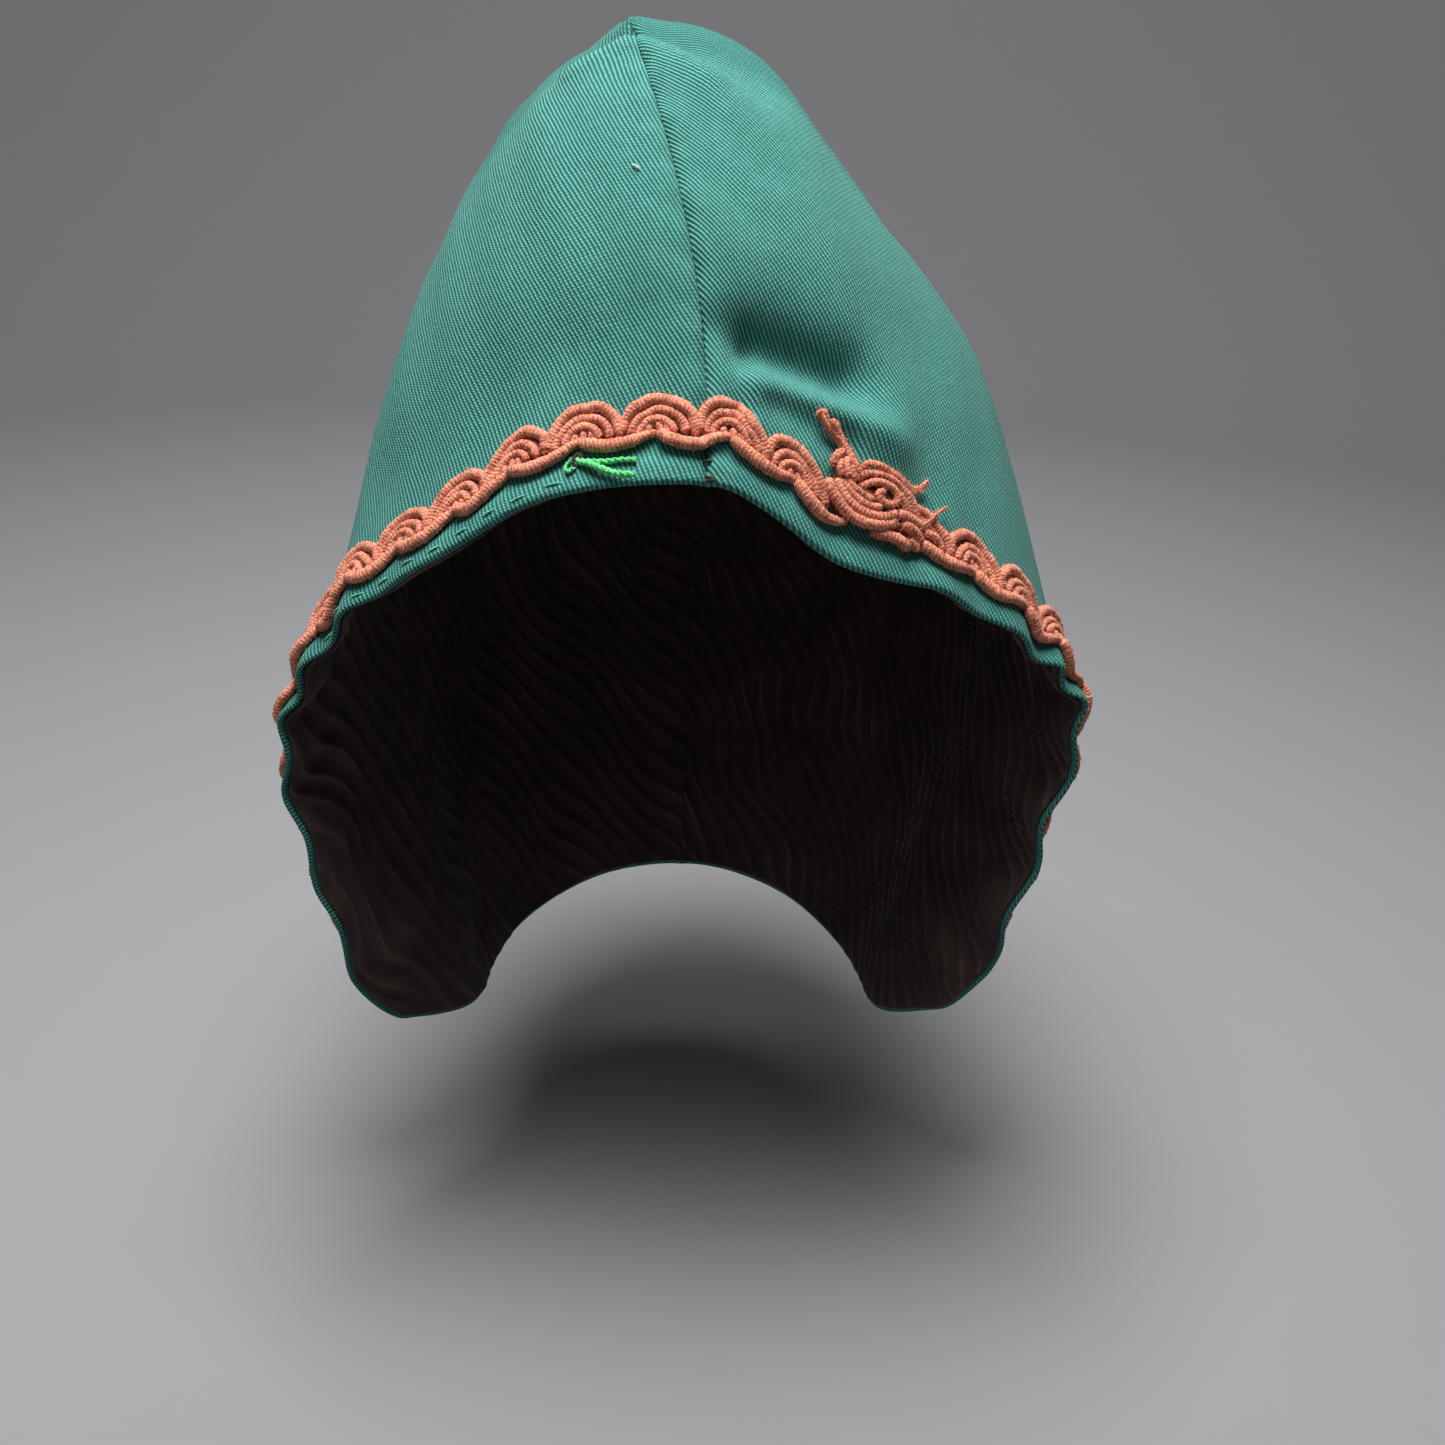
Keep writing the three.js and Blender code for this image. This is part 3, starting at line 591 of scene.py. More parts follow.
def flat_shape(side):
    """The cut shape of one side: a coarse grid on the cloth laid flat so that its edges and
    diagonals keep their lengths as nearly as they can (Gauss-Newton on the squared errors)."""
    rows, columns = 15, 13
    v = np.linspace(0, 1, rows)[:, None]
    share = np.linspace(0, 1, columns)[None, :]
    total = blend_lines(LENGTHS[side], v[:, 0])[:, -1:]
    u = share_at(side, v, share * total)
    u[:, -1] = 1
    solid = rough_point(side, u, v)
    index = grid_numbers(rows, columns)
    pairs = np.concatenate([
        np.stack([index[:, :-1].ravel(), index[:, 1:].ravel()], 1),
        np.stack([index[:-1].ravel(), index[1:].ravel()], 1),
        np.stack([index[:-1, :-1].ravel(), index[1:, 1:].ravel()], 1),
        np.stack([index[1:, :-1].ravel(), index[:-1, 1:].ravel()], 1),
    ])
    points = solid.reshape(-1, 3)
    wanted = length_of(points[pairs[:, 0]] - points[pairs[:, 1]])[:, 0]
    # A fan is a good first guess: the sections run out from the nape
    turn = np.linspace(0.6, -0.9, rows)[:, None]
    pivot = 70.0
    radius = pivot + total - share * total
    flat = np.stack([radius * np.cos(turn), radius * np.sin(turn)], -1).reshape(-1, 2)
    count = len(points)
    line = np.arange(len(pairs))
    for step in range(16):
        apart = flat[pairs[:, 0]] - flat[pairs[:, 1]]
        now = np.maximum(length_of(apart)[:, 0], 1e-6)
        weight = 1 / np.maximum(wanted, 1.0)
        error = (now - wanted) * weight
        unit = apart / now[:, None] * weight[:, None]
        slope = np.zeros((len(pairs), 2 * count))
        for axis in range(2):
            slope[line, 2 * pairs[:, 0] + axis] = unit[:, axis]
            slope[line, 2 * pairs[:, 1] + axis] = -unit[:, axis]
        square = slope.T @ slope + np.eye(2 * count) * (1e-3 if step < 8 else 1e-6)
        flat = flat - np.linalg.solve(square, slope.T @ error).reshape(-1, 2)
    return flat.reshape(rows, columns, 2)


FLAT = {side: flat_shape(side) for side in (1, -1)}


def flat_at(side, panel):
    """Flat place in millimetres of every place of a panel."""
    grid = FLAT[side]
    row = panel.v * (grid.shape[0] - 1) + 0 * panel.u
    column = panel.reach / panel.total * (grid.shape[1] - 1)
    return lookup(grid, row, column)


def on_panel(side, v, reach, lift):
    """Places over one side's cloth: share from seam to bottom, distance from the front edge and
    height over the cloth, with the direction away from the cloth."""
    u = share_at(side, v, reach)
    p, direction = cloth_frame(side, u, v)
    lift = lift + hem_lift(reach, v)
    places = lean_and_place(side, p + direction * lift[..., None], SEAM_CLEARANCE)
    return places, direction * np.array([side, 1, 1])


# Strip of cloth under the braid: a table of lengths along the braid and distances across it
STRIP_L_STEP = 0.75
STRIP_A_STEP = 0.5
STRIP_L = np.arange(-3, BRAID_L[-1] + 3.5, STRIP_L_STEP)
STRIP_A = np.arange(-12.5, 24.1, STRIP_A_STEP)


def braid_strip():
    """Cloth places and directions under the braid, eased along it over 3 mm so that the trim
    bridges the seam's groove."""
    s = np.interp(STRIP_L, BRAID_L, BRAID_S)
    points = np.empty((len(STRIP_L), len(STRIP_A), 3))
    directions = np.empty_like(points)
    for side in (1, -1):
        mine = (s >= 0) == (side > 0)
        v = np.abs(s[mine])[:, None] + 0 * STRIP_A
        reach = braid_reach(side, v) + STRIP_A
        points[mine], directions[mine] = on_panel(side, v, reach, np.zeros_like(v))
    # Past its ends the braid runs straight on
    for end, inner in ((STRIP_L < 0, 4), (STRIP_L > BRAID_L[-1], -6)):
        step = points[inner + 1] - points[inner]
        count = (STRIP_L[end] - STRIP_L[inner]) / STRIP_L_STEP
        points[end] = points[inner] + count[:, None, None] * step
    kernel = np.array([1, 2, 3, 2, 1]) / 9
    for table in (points, directions):
        padded = np.concatenate([table[:1], table[:1], table, table[-1:], table[-1:]])
        table[:] = sum(kernel[k] * padded[k : k + len(table)] for k in range(5))
    return points, directions / length_of(directions)


STRIP, STRIP_UP = braid_strip()


def on_trim(path):
    """Place and direction for paths given as length along the braid, distance across it (away
    from the front edge) and height over the cloth."""
    row = (path[..., 0] - STRIP_L[0]) / STRIP_L_STEP
    column = (path[..., 1] - STRIP_A[0]) / STRIP_A_STEP
    up = lookup(STRIP_UP, row, column)
    return lookup(STRIP, row, column) + up * path[..., 2:3], up


def curve(controls, steps):
    """Smooth curve through control places along the last axis but one."""
    controls = np.asarray(controls, float)
    count = controls.shape[-2]
    x = np.linspace(0, count - 1, steps)
    i = np.minimum(x.astype(int), count - 2)
    t = (x - i)[:, None]
    slopes = np.gradient(controls, axis=-2)
    return hermite(
        controls[..., i, :], controls[..., i + 1, :], slopes[..., i, :], slopes[..., i + 1, :], t
    )


def cord_faces(count, steps, sides):
    """Quads of many tubes of rings and fans at their ends, with the corner's ring and side."""
    ring = np.arange(steps - 1)[:, None]
    side = np.arange(sides)[None, :]
    next_side = (side + 1) % sides
    here = ring * sides
    beyond = here + sides
    quad = np.stack(np.broadcast_arrays(
        here + side, beyond + side, beyond + next_side, here + next_side
    ), -1).reshape(-1, 4)
    mark = np.stack(np.broadcast_arrays(
        ring + 0 * side, side + 0 * ring, ring + 1 + 0 * side, side + 0 * ring,
        ring + 1 + 0 * side, side + 1 + 0 * ring, ring + 0 * side, side + 1 + 0 * ring,
    ), -1).reshape(-1, 4, 2)
    first = np.arange(1, sides - 1)
    low = np.stack([0 * first, first, first + 1], -1)
    high = (steps - 1) * sides + low[:, ::-1]
    shift = (np.arange(count) * steps * sides)[:, None, None]
    quads = (quad[None] + shift).reshape(-1, 4)
    fans = (np.concatenate([low, high])[None] + shift).reshape(-1, 3)
    return quads, fans, mark


def cords(paths, up, radius, sides, rough, seed, deep=0):
    """Tubes round paths of shape (count, steps, 3), with one radius or some radii spread evenly
    along them. A ring lies square to the path, with up helping to turn it; the two ends are
    rounded over and closed. Deep ones, which the braid's finish paints dark as shade between the
    cords, are marked by 2 more in the first flat coordinate."""
    rng = np.random.default_rng(seed)
    count, steps = paths.shape[:2]
    tangent = np.gradient(paths, axis=1)
    tangent /= np.maximum(length_of(tangent), 1e-9)
    across = np.cross(tangent, up)
    across /= np.maximum(length_of(across), 1e-9)
    over = np.cross(across, tangent)
    along = length_gone(paths)
    given = np.atleast_1d(np.asarray(radius, float))
    spread = np.interp(np.linspace(0, 1, steps), np.linspace(0, 1, len(given)), given)
    radius = spread + np.zeros((count, steps))
    end = np.minimum(along, along[:, -1:] - along) / np.maximum(radius, 1e-6)
    radius *= np.sqrt(1 - (1 - np.clip(end, 0.03, 1)) ** 2)
    angle = 2 * np.pi * np.arange(sides) / sides
    wobble = 1 + rough * rng.standard_normal((count, steps, sides))
    ring = across[:, :, None] * np.cos(angle)[:, None] + over[:, :, None] * np.sin(angle)[:, None]
    points = paths[:, :, None] + ring * (radius[:, :, None] * wobble)[..., None]
    quads, fans, mark = cord_faces(count, steps, sides)
    turned = np.broadcast_to(mark[..., 1] / sides + 2 * deep, (count,) + mark.shape[:2])
    uv_quads = np.stack([turned, along[:, mark[..., 0]] * MM], -1).reshape(-1, 2)
    uv_fans = np.zeros((fans.size, 2))
    return points.reshape(-1, 3), [quads, fans], [uv_quads, uv_fans]


def join(parts):
    """One set of points, faces and marks out of several."""
    start = 0
    points, quads, fans, uv_quads, uv_fans = [], [], [], [], []
    for p, faces, uv in parts:
        points.append(p)
        quads.append(faces[0] + start)
        fans.append(faces[1] + start)
        uv_quads.append(uv[0])
        uv_fans.append(uv[1])
        start += len(p)
    return (
        np.concatenate(points),
        [np.concatenate(quads), np.concatenate(fans)],
        [np.concatenate(uv_quads), np.concatenate(uv_fans)],
    )


# One scallop of the braid, seen with the front edge below. Places in millimetres: along from the
# scallop's top, across, and height of the cord's middle over the cloth; then the cord's radius,
# or some radii along it, and its number of rings. They are drawn for a scallop 13 mm long and
# stretched to the braid's pitch.
DRAWN_PITCH = 13.0
SCALLOP_CORDS = [
    # outer arch
    ([(-6.4, -2.6, 0.8), (-6.3, -0.8, 1.0), (-5.7, 1.2, 1.15), (-4.4, 3.0, 1.2), (-2.4, 4.1, 1.25),
      (-0.2, 4.4, 1.25), (2.1, 4.0, 1.25), (4.0, 2.8, 1.2), (5.4, 1.0, 1.15), (6.1, -1.0, 1.0),
      (6.4, -2.9, 0.8)], 1.16, 56),
    # second arch
    ([(-5.0, -3.0, 0.7), (-4.8, -1.4, 1.0), (-3.8, 0.4, 1.15), (-2.3, 1.7, 1.2), (-0.5, 2.2, 1.25),
      (1.4, 1.9, 1.25), (2.9, 0.8, 1.2), (4.0, -0.8, 1.1), (4.7, -3.0, 0.8)], 0.95, 46),
    # third arch
    ([(-3.5, -2.9, 0.8), (-3.1, -1.5, 1.2), (-2.1, -0.2, 1.4), (-0.5, 0.5, 1.45), (1.0, 0.1, 1.45),
      (2.1, -1.2, 1.3), (2.9, -2.9, 0.9)], 0.84, 32),
    # ribs inside it
    ([(-1.6, -0.9, 1.15), (-1.5, -1.9, 1.3), (-1.5, -3.0, 1.0)], 0.66, 12),
    ([(-0.2, -0.6, 1.2), (0.0, -1.8, 1.35), (0.1, -3.0, 1.0)], 0.66, 12),
    ([(1.1, -1.0, 1.15), (1.3, -2.0, 1.25), (1.5, -3.1, 1.0)], 0.62, 11),
    # rib at the notch
    ([(-7.0, 0.6, 0.6), (-6.9, -1.2, 0.9), (-6.8, -3.4, 0.9)], 0.85, 14),
    # thick lower cord from one cusp to the next
    ([(-0.4, -2.7, 1.3), (1.2, -3.9, 1.5), (3.6, -4.9, 1.5), (6.2, -5.0, 1.5), (8.8, -4.3, 1.4),
      (11.2, -3.2, 1.2), (13.4, -2.3, 0.8)], (1.1, 1.3, 1.32, 1.28, 1.15, 0.95, 0.8), 46),
]
# Body under the cords, painted dark as the shade that shows between them
SCALLOP_BODY = [
    ([(-5.8, -2.0, 0.1), (-4.6, 0.6, 0.15), (-2.2, 2.6, 0.2), (0.4, 3.0, 0.2), (2.8, 1.8, 0.2),
      (5.0, -0.8, 0.15), (5.8, -2.6, 0.1)], 1.1, 30),
    ([(-7.0, -2.2, 0.1), (-3.6, -1.0, 0.2), (0.0, 0.2, 0.25), (3.6, -1.2, 0.2),
      (7.0, -2.4, 0.1)], 1.2, 24),
]
# How much the control places of the scallops vary, and the share of it that the height has
SCALLOP_SPREAD = 0.14
HEIGHT_SPREAD = 0.4


def between(path, start, end):
    """The part of a path that lies between two lengths along the braid, with as many places."""
    t = np.linspace(0, 1, len(path))
    inside = t[(path[:, 0] >= start) & (path[:, 0] <= end)]
    picked = np.linspace(inside[0], inside[-1], len(path))
    return np.stack([np.interp(picked, t, path[:, axis]) for axis in range(3)], -1)


def braid_run(name, start, end, seed):
    """Scallops from one length along the braid to another; cords past its ends are left out or
    end there."""
    rng = np.random.default_rng(seed)
    first = int(np.floor((start - SCALLOP_AT) / BRAID_PITCH))
    last = int(np.ceil((end - SCALLOP_AT) / BRAID_PITCH))
    tops = SCALLOP_AT + BRAID_PITCH * np.arange(first, last + 1)
    parts = []
    listed = [cord + (0,) for cord in SCALLOP_CORDS] + [cord + (1,) for cord in SCALLOP_BODY]
    for controls, radius, steps, deep in listed:
        controls = np.array(controls) * np.array([BRAID_PITCH / DRAWN_PITCH, 1, 1])
        off = rng.normal(0, SCALLOP_SPREAD, (len(tops),) + controls.shape)
        controls = controls[None] + off * np.array([1, 1, HEIGHT_SPREAD])
        controls[..., 0] += tops[:, None]
        middle = controls[..., 0].mean(axis=1)
        controls = controls[(middle > start) & (middle < end)]
        paths = np.stack([between(path, start, end) for path in curve(controls, steps)])
        places, up = on_trim(paths)
        parts.append(cords(places, up, radius, 10, 0.07, seed + steps, deep))
    return new_piece(name, *join(parts))


def knot_cords():
    """The gathered end of the braid: curled cords in millimetres from the knot's middle, along
    the braid, across it and over the cloth, each with its radius and number of rings."""
    return [
        # big loop over the front
        ([(-13.0, 4.2, 1.3), (-12.6, 2.2, 1.8), (-11.0, 0.2, 2.2), (-8.6, -1.4, 2.5), (-5.6, -2.0, 2.7),
          (-2.6, -1.8, 2.8), (0.2, -0.9, 2.8), (1.9, 0.8, 2.7)], 1.15, 70),
        ([(-11.2, 5.0, 1.5), (-10.2, 3.0, 2.2), (-7.8, 1.0, 2.8), (-4.8, 0.0, 3.1), (-1.6, 0.2, 3.2),
          (0.8, 1.4, 3.2), (1.7, 2.8, 3.0)], 0.98, 60),
        # cords beside it
        ([(-10.4, 5.2, 1.4), (-8.8, 4.2, 2.2), (-6.2, 2.8, 2.8), (-3.4, 2.1, 3.1),
          (-0.9, 2.8, 3.2)], 0.86, 48),
        ([(-9.0, 6.0, 1.8), (-7.2, 4.9, 2.5), (-4.8, 4.0, 2.9), (-2.6, 3.6, 3.1)], 0.8, 40),
        # curl in the middle
        ([(-5.0, 5.2, 2.5), (-3.6, 6.6, 2.9), (-1.4, 7.4, 3.2), (0.9, 6.8, 3.3), (1.9, 5.0, 3.3),
          (0.8, 3.6, 3.3), (-1.2, 3.9, 3.4), (-1.7, 5.2, 3.5), (-0.5, 5.7, 3.5)], 0.78, 78),
        # arcs round the curl
        ([(-6.4, 6.6, 2.0), (-4.4, 8.2, 2.5), (-1.6, 9.0, 2.7), (1.4, 8.5, 2.8), (3.7, 6.8, 2.8),
          (5.0, 4.6, 2.7), (5.6, 2.6, 2.4)], 0.84, 62),
        ([(2.4, 6.4, 3.0), (3.6, 4.6, 3.0), (4.0, 2.9, 2.8)], 0.72, 24),
        ([(4.6, 7.4, 2.2), (6.4, 5.6, 2.3), (7.2, 3.6, 2.2), (7.6, 1.6, 1.9)], 0.8, 36),
        # curl at the back
        ([(-4.4, 9.4, 1.4), (-3.2, 11.0, 1.9), (-0.8, 11.3, 2.1), (1.8, 10.2, 2.2),
          (4.2, 8.6, 2.1)], 0.78, 46),
        # bunch under the loose end
        ([(-7.6, 11.2, 1.6), (-9.6, 10.6, 1.8), (-11.4, 8.8, 1.7), (-12.2, 6.8, 1.4)], 0.95, 40),
        ([(-7.2, 10.8, 2.3), (-6.0, 9.4, 2.4), (-5.2, 7.8, 2.4)], 0.85, 26),
        ([(-8.6, 10.0, 2.5), (-9.2, 8.0, 2.6), (-8.4, 6.0, 2.4)], 0.85, 28),
        ([(-10.2, 9.0, 2.2), (-10.8, 7.2, 2.2), (-10.0, 5.8, 1.9)], 0.8, 24),
        ([(-7.4, 9.0, 2.8), (-7.4, 7.4, 2.8), (-6.4, 6.2, 2.7)], 0.72, 22),
        # rolls at the front and right
        ([(-4.0, -1.6, 1.4), (-1.6, -1.5, 2.2), (0.8, -1.0, 2.7), (2.2, 0.2, 2.8)], 0.84, 38),
        ([(-3.2, -3.0, 1.0), (-0.8, -3.0, 1.7), (1.6, -3.2, 2.1), (3.9, -4.0, 2.1),
          (5.2, -5.0, 1.6)], 1.16, 50),
        ([(2.0, 2.4, 3.0), (4.6, 1.8, 3.1), (7.2, 1.0, 2.8), (9.2, 0.2, 2.2)], 1.1, 46),
        ([(3.0, 0.2, 2.8), (5.2, -0.6, 2.9), (7.1, -1.6, 2.5), (8.2, -2.9, 1.8)], 1.12, 42),
        ([(5.0, -2.8, 2.0), (6.6, -3.6, 1.9), (7.8, -4.4, 1.4)], 0.95, 24),
        ([(9.0, -0.4, 2.2), (11.2, -0.4, 2.2), (13.2, -1.1, 1.5)], 0.95, 30),
        # thread that crosses the next scallop
        ([(7.8, 0.6, 3.6), (10.4, 2.6, 3.3), (13.2, 5.2, 2.8), (16.2, 8.0, 1.9)], 0.34, 40),
    ]


def knot_body():
    """The body under the knot's cords, painted dark as the shade between them, in the same terms."""
    return [
        ([(-12.4, 2.8, 0.2), (-9.2, 0.2, 0.8), (-4.6, -1.0, 1.0), (0.4, -1.0, 1.0)], 1.5, 40),
        ([(-10.6, 6.2, 0.4), (-6.0, 5.2, 1.0), (-1.0, 4.8, 1.3), (4.0, 3.2, 1.2),
          (9.0, 1.6, 0.6)], 1.7, 60),
        ([(-8.6, 8.6, 0.6), (-4.6, 8.4, 1.0), (-0.4, 8.8, 1.0), (3.8, 6.8, 0.9),
          (7.0, 4.2, 0.6)], 1.5, 52),
        ([(-9.2, 3.2, 0.4), (-5.0, 1.2, 1.2), (-0.6, 0.6, 1.4), (3.8, -0.6, 1.4),
          (9.6, -0.6, 0.6)], 1.6, 56),
        ([(-2.8, -1.4, 0.5), (1.0, -2.0, 1.0), (5.0, -2.8, 0.9), (7.6, -3.0, 0.5)], 1.2, 32),
    ]


class Wire:
    """A value in a finish's node tree; arithmetic on it adds Math nodes."""

    def __init__(self, finish, socket):
        self.finish = finish
        self.socket = socket

    def math(self, operation, first, second=0.0):
        """A Math node on two values or links."""
        return self.finish.node("ShaderNodeMath", {"operation": operation}, [first, second])

    def __add__(self, other):
        return self.math("ADD", self, other)

    def __radd__(self, other):
        return self.math("ADD", other, self)

    def __sub__(self, other):
        return self.math("SUBTRACT", self, other)

    def __rsub__(self, other):
        return self.math("SUBTRACT", other, self)

    def __mul__(self, other):
        return self.math("MULTIPLY", self, other)

    def __rmul__(self, other):
        return self.math("MULTIPLY", other, self)

    def __truediv__(self, other):
        return self.math("DIVIDE", self, other)

    def __pow__(self, other):
        return self.math("POWER", self, other)

    def floor(self):
        return self.math("FLOOR", self)

    def sine(self):
        return self.math("SINE", self)

    def absolute(self):
        return self.math("ABSOLUTE", self)

    def wave(self):
        """0 to 1 and back once for each whole number."""
        return (self * (2 * math.pi)).sine() * 0.5 + 0.5

    def held(self):
        """Held between 0 and 1."""
        return self.math("MAXIMUM", self.math("MINIMUM", self, 1.0), 0.0)


class Finish:
    """A material whose nodes end in one Principled shader."""

    def __init__(self, name, **fixed):
        self.material = bpy.data.materials.new(name)
        self.material.use_nodes = True
        self.tree = self.material.node_tree
        self.shader = self.tree.nodes["Principled BSDF"]
        for socket, value in fixed.items():
            self.shader.inputs[socket.replace("_", " ")].default_value = value

    def node(self, kind, settings, sockets, output=0):
        """Adds a node: its settings first, then its sockets as a list or by name."""
        made = self.tree.nodes.new(kind)
        for name, value in settings.items():
            setattr(made, name, value)
        pairs = sockets.items() if isinstance(sockets, dict) else enumerate(sockets)
        for key, value in pairs:
            if isinstance(value, Wire):
                self.tree.links.new(value.socket, made.inputs[key])
            else:
                made.inputs[key].default_value = value
        return Wire(self, made.outputs[output])

    def flat_place(self):
        """Place on the piece's own UV map, in metres."""
        return self.node("ShaderNodeUVMap", {"uv_map": "cloth"}, [])

    def solid_place(self):
        """Place in the object, in metres."""
        return self.node("ShaderNodeTexCoord", {}, [], "Object")

    def split(self, place):
        """The three numbers of a place."""
        first = self.node("ShaderNodeSeparateXYZ", {}, [place])
        return [Wire(self, output) for output in first.socket.node.outputs]

    def noise(self, place, scale, detail=2.0, roughness=0.5):
        """Noise between 0 and 1, with so many waves in a metre."""
        sockets = {"Vector": place, "Scale": scale, "Detail": detail, "Roughness": roughness}
        return self.node("ShaderNodeTexNoise", {}, sockets)

    def mix(self, share, first, second):
        """Colour between two colours."""
        return self.node("ShaderNodeMix", {"data_type": "RGBA"}, {0: share, 6: first, 7: second}, 2)

    def connect(self, socket, wire):
        """Links a value to a socket of the shader."""
        self.tree.links.new(wire.socket, self.shader.inputs[socket])

    def bump(self, height, depth, strength):
        """Bump of a height from 0 to 1, so many millimetres deep."""
        made = self.node(
            "ShaderNodeBump", {}, {"Strength": strength, "Distance": depth * MM, "Height": height}
        )
        self.connect("Normal", made)


def colour(red, green, blue):
    """Colour socket value."""
    return (red, green, blue, 1.0)


# Length of a float of the twill and pitch of the lining's threads
FLOAT_PITCH = 0.8 * MM
WEAVE_PITCH = 0.5 * MM


def twill(name, turn, pitch):
    """Worn cotton twill: raised diagonal wales broken into short floats, lighter on top, dark
    between, with slow fading and fluff. Painted shade darkens it at the sides and behind the tip,
    together with random patches that are less faded."""
    finish = Finish(name, Roughness=0.88, Sheen_Weight=0.1, Sheen_Roughness=0.45,
                    Sheen_Tint=colour(0.6, 0.95, 0.85), Specular_IOR_Level=0.18)
    place = finish.flat_place()
    x, y = finish.split(place)[:2]
    slow = finish.noise(place, 55.0, 2.0)
    uneven = finish.noise(place, 420.0, 2.0)
    fluff = finish.noise(place, 1500.0, 2.0, 0.7)
    across = (x * math.cos(turn) + y * math.sin(turn)) / pitch + slow * 1.6 + uneven * 0.3
    along = (y * math.cos(turn) - x * math.sin(turn)) / FLOAT_PITCH
    wale = across.wave()
    floats = (along + across.floor() * 0.37 + across * 0.8 + uneven * 0.6).wave()
    thread = ((wale - 0.1) * 1.2).held() * (floats * 0.45 + 0.55)
    cover = (thread * 1.1 + (fluff - 0.5) * 0.4 + (uneven - 0.5) * 0.35).held()
    worn = finish.noise(place, 18.0, 3.0, 0.6)
    cloth = finish.mix(cover, colour(0.012, 0.08, 0.067), colour(0.104, 0.376, 0.318))
    faded = finish.mix(((worn - 0.4) * 1.4).held() * 0.25, cloth, colour(0.105, 0.345, 0.297))
    # Painted shade: the cloth is drawn darker at the sides and behind the tip, mixed with random less
    # faded patches
    from_middle, behind, height = finish.split(finish.solid_place())
    painted_side_shade = ((from_middle.absolute() - 0.028) / 0.05).held()
    painted_shade_behind_tip = ((behind - 0.010) / 0.006).held() * ((height + 0.03) / 0.02).held()
    painted_shade_and_wear = (painted_side_shade * 0.5 + painted_shade_behind_tip * 0.55 + (worn - 0.5) * 0.4).held()
    unfaded_and_shaded_cloth = finish.mix(cover, colour(0.004, 0.04, 0.034), colour(0.04, 0.2, 0.17))
    finish.connect("Base Color", finish.mix(painted_shade_and_wear, faded, unfaded_and_shaded_cloth))
    finish.bump(thread + fluff * 0.35, 0.26, 0.9)
    return finish.material


def from_crease(x, y, side, sine, absolute):
    """0 on each crease of the lining and 1 half way to the next, from flat places in
    millimetres. The creases lie across a slanting line and are bent by sines along them. The
    sine and absolute value are given, for numbers or for a finish."""
    lean = CREASE_LEAN[side]
    across = x * CREASE_ACROSS + y * lean
    along = y * CREASE_ACROSS - x * lean
    bend = sine(along / 13 + sine(across / 9) * 0.7) * 1.6
    bend = bend + sine(along / 5.7 + across / 6.1) * 1.1
    turn = (across + bend) * (math.pi / CREASE_PITCH) + sine(along / 8) * 0.8
    return absolute(sine(turn))


def crinkled(name, side):
    """Dark brown lining: fine threads and creases, with a painted highlight on the raised ridges,
    which fades in and out."""
    finish = Finish(name, Roughness=0.8, Sheen_Weight=0.12, Sheen_Roughness=0.4,
                    Specular_IOR_Level=0.25)
    place = finish.flat_place()
    x, y = finish.split(place)[:2]
    fine = finish.noise(place, 900.0, 3.0, 0.6)
    slow = finish.noise(place, 60.0, 2.0)
    weave = (x / WEAVE_PITCH).wave() * (y / WEAVE_PITCH).wave()
    ridges = from_crease(x / MM, y / MM, side, Wire.sine, Wire.absolute)
    # Painted highlight: lighter brown along the crests of the creases, broken up by noise
    broken = ((finish.noise(place, 38.0, 2.0) - 0.42) * 4.0).held()
    painted_ridge_highlight = (1.0 - ridges) ** 3 * broken
    shade = (fine * 0.6 + slow * 0.6 + weave * 0.3 + painted_ridge_highlight * 0.75 - 0.4).held()
    brown = finish.mix(shade, colour(0.011, 0.0065, 0.006), colour(0.1, 0.058, 0.05))
    finish.connect("Base Color", brown)
    finish.bump(fine + weave * 0.5, 0.12, 0.7)
    return finish.material


def wrapped_cord(name, dark, light, ring):
    """Cord wrapped with fine thread: rings along the cord that lean, fluffy and uneven; deep
    cords, marked by 2 or more in the first flat coordinate, are painted darker as the shade between the
    outer cords."""
    finish = Finish(name, Roughness=0.9, Sheen_Weight=0.25, Sheen_Roughness=0.5,
                    Sheen_Tint=colour(1.0, 0.75, 0.6), Specular_IOR_Level=0.15)
    x, y = finish.split(finish.flat_place())[:2]
    solid = finish.solid_place()
    fluff = finish.noise(solid, 2600.0, 2.0, 0.7)
    patch = finish.noise(solid, 420.0, 2.0)
    rings = (y / (ring * MM) + x + patch * 1.8 + fluff * 0.6).wave()
    deep = (x * 0.5).floor()
    cover = (rings * 0.3 + (fluff - 0.5) * 1.6 + (patch - 0.5) * 0.9 + 0.38).held()
    # Painted shade: the deep body cords are darkened to stand in for the shade under the outer cords
    cover = cover * (1.0 - deep * 0.9)
    finish.connect("Base Color", finish.mix(cover, dark, light))
    finish.bump(rings * 0.45 + fluff, 0.22, 0.9)
    return finish.material


def plain_matt(name, shade):
    """Even matt ground."""
    finish = Finish(name, Roughness=0.9, Specular_IOR_Level=0.1)
    grain = finish.noise(finish.solid_place(), 40.0)
    darker = colour(*[part * 0.985 for part in shade])
    finish.connect("Base Color", finish.mix(grain, darker, colour(*shade)))
    return finish.material


TWILL = {
    1: twill("twill_right", math.radians(26), 0.84 * MM),
    -1: twill("twill_left", math.radians(84), 0.94 * MM),
}
LINING = {1: crinkled("lining_crinkled_right", 1), -1: crinkled("lining_crinkled_left", -1)}
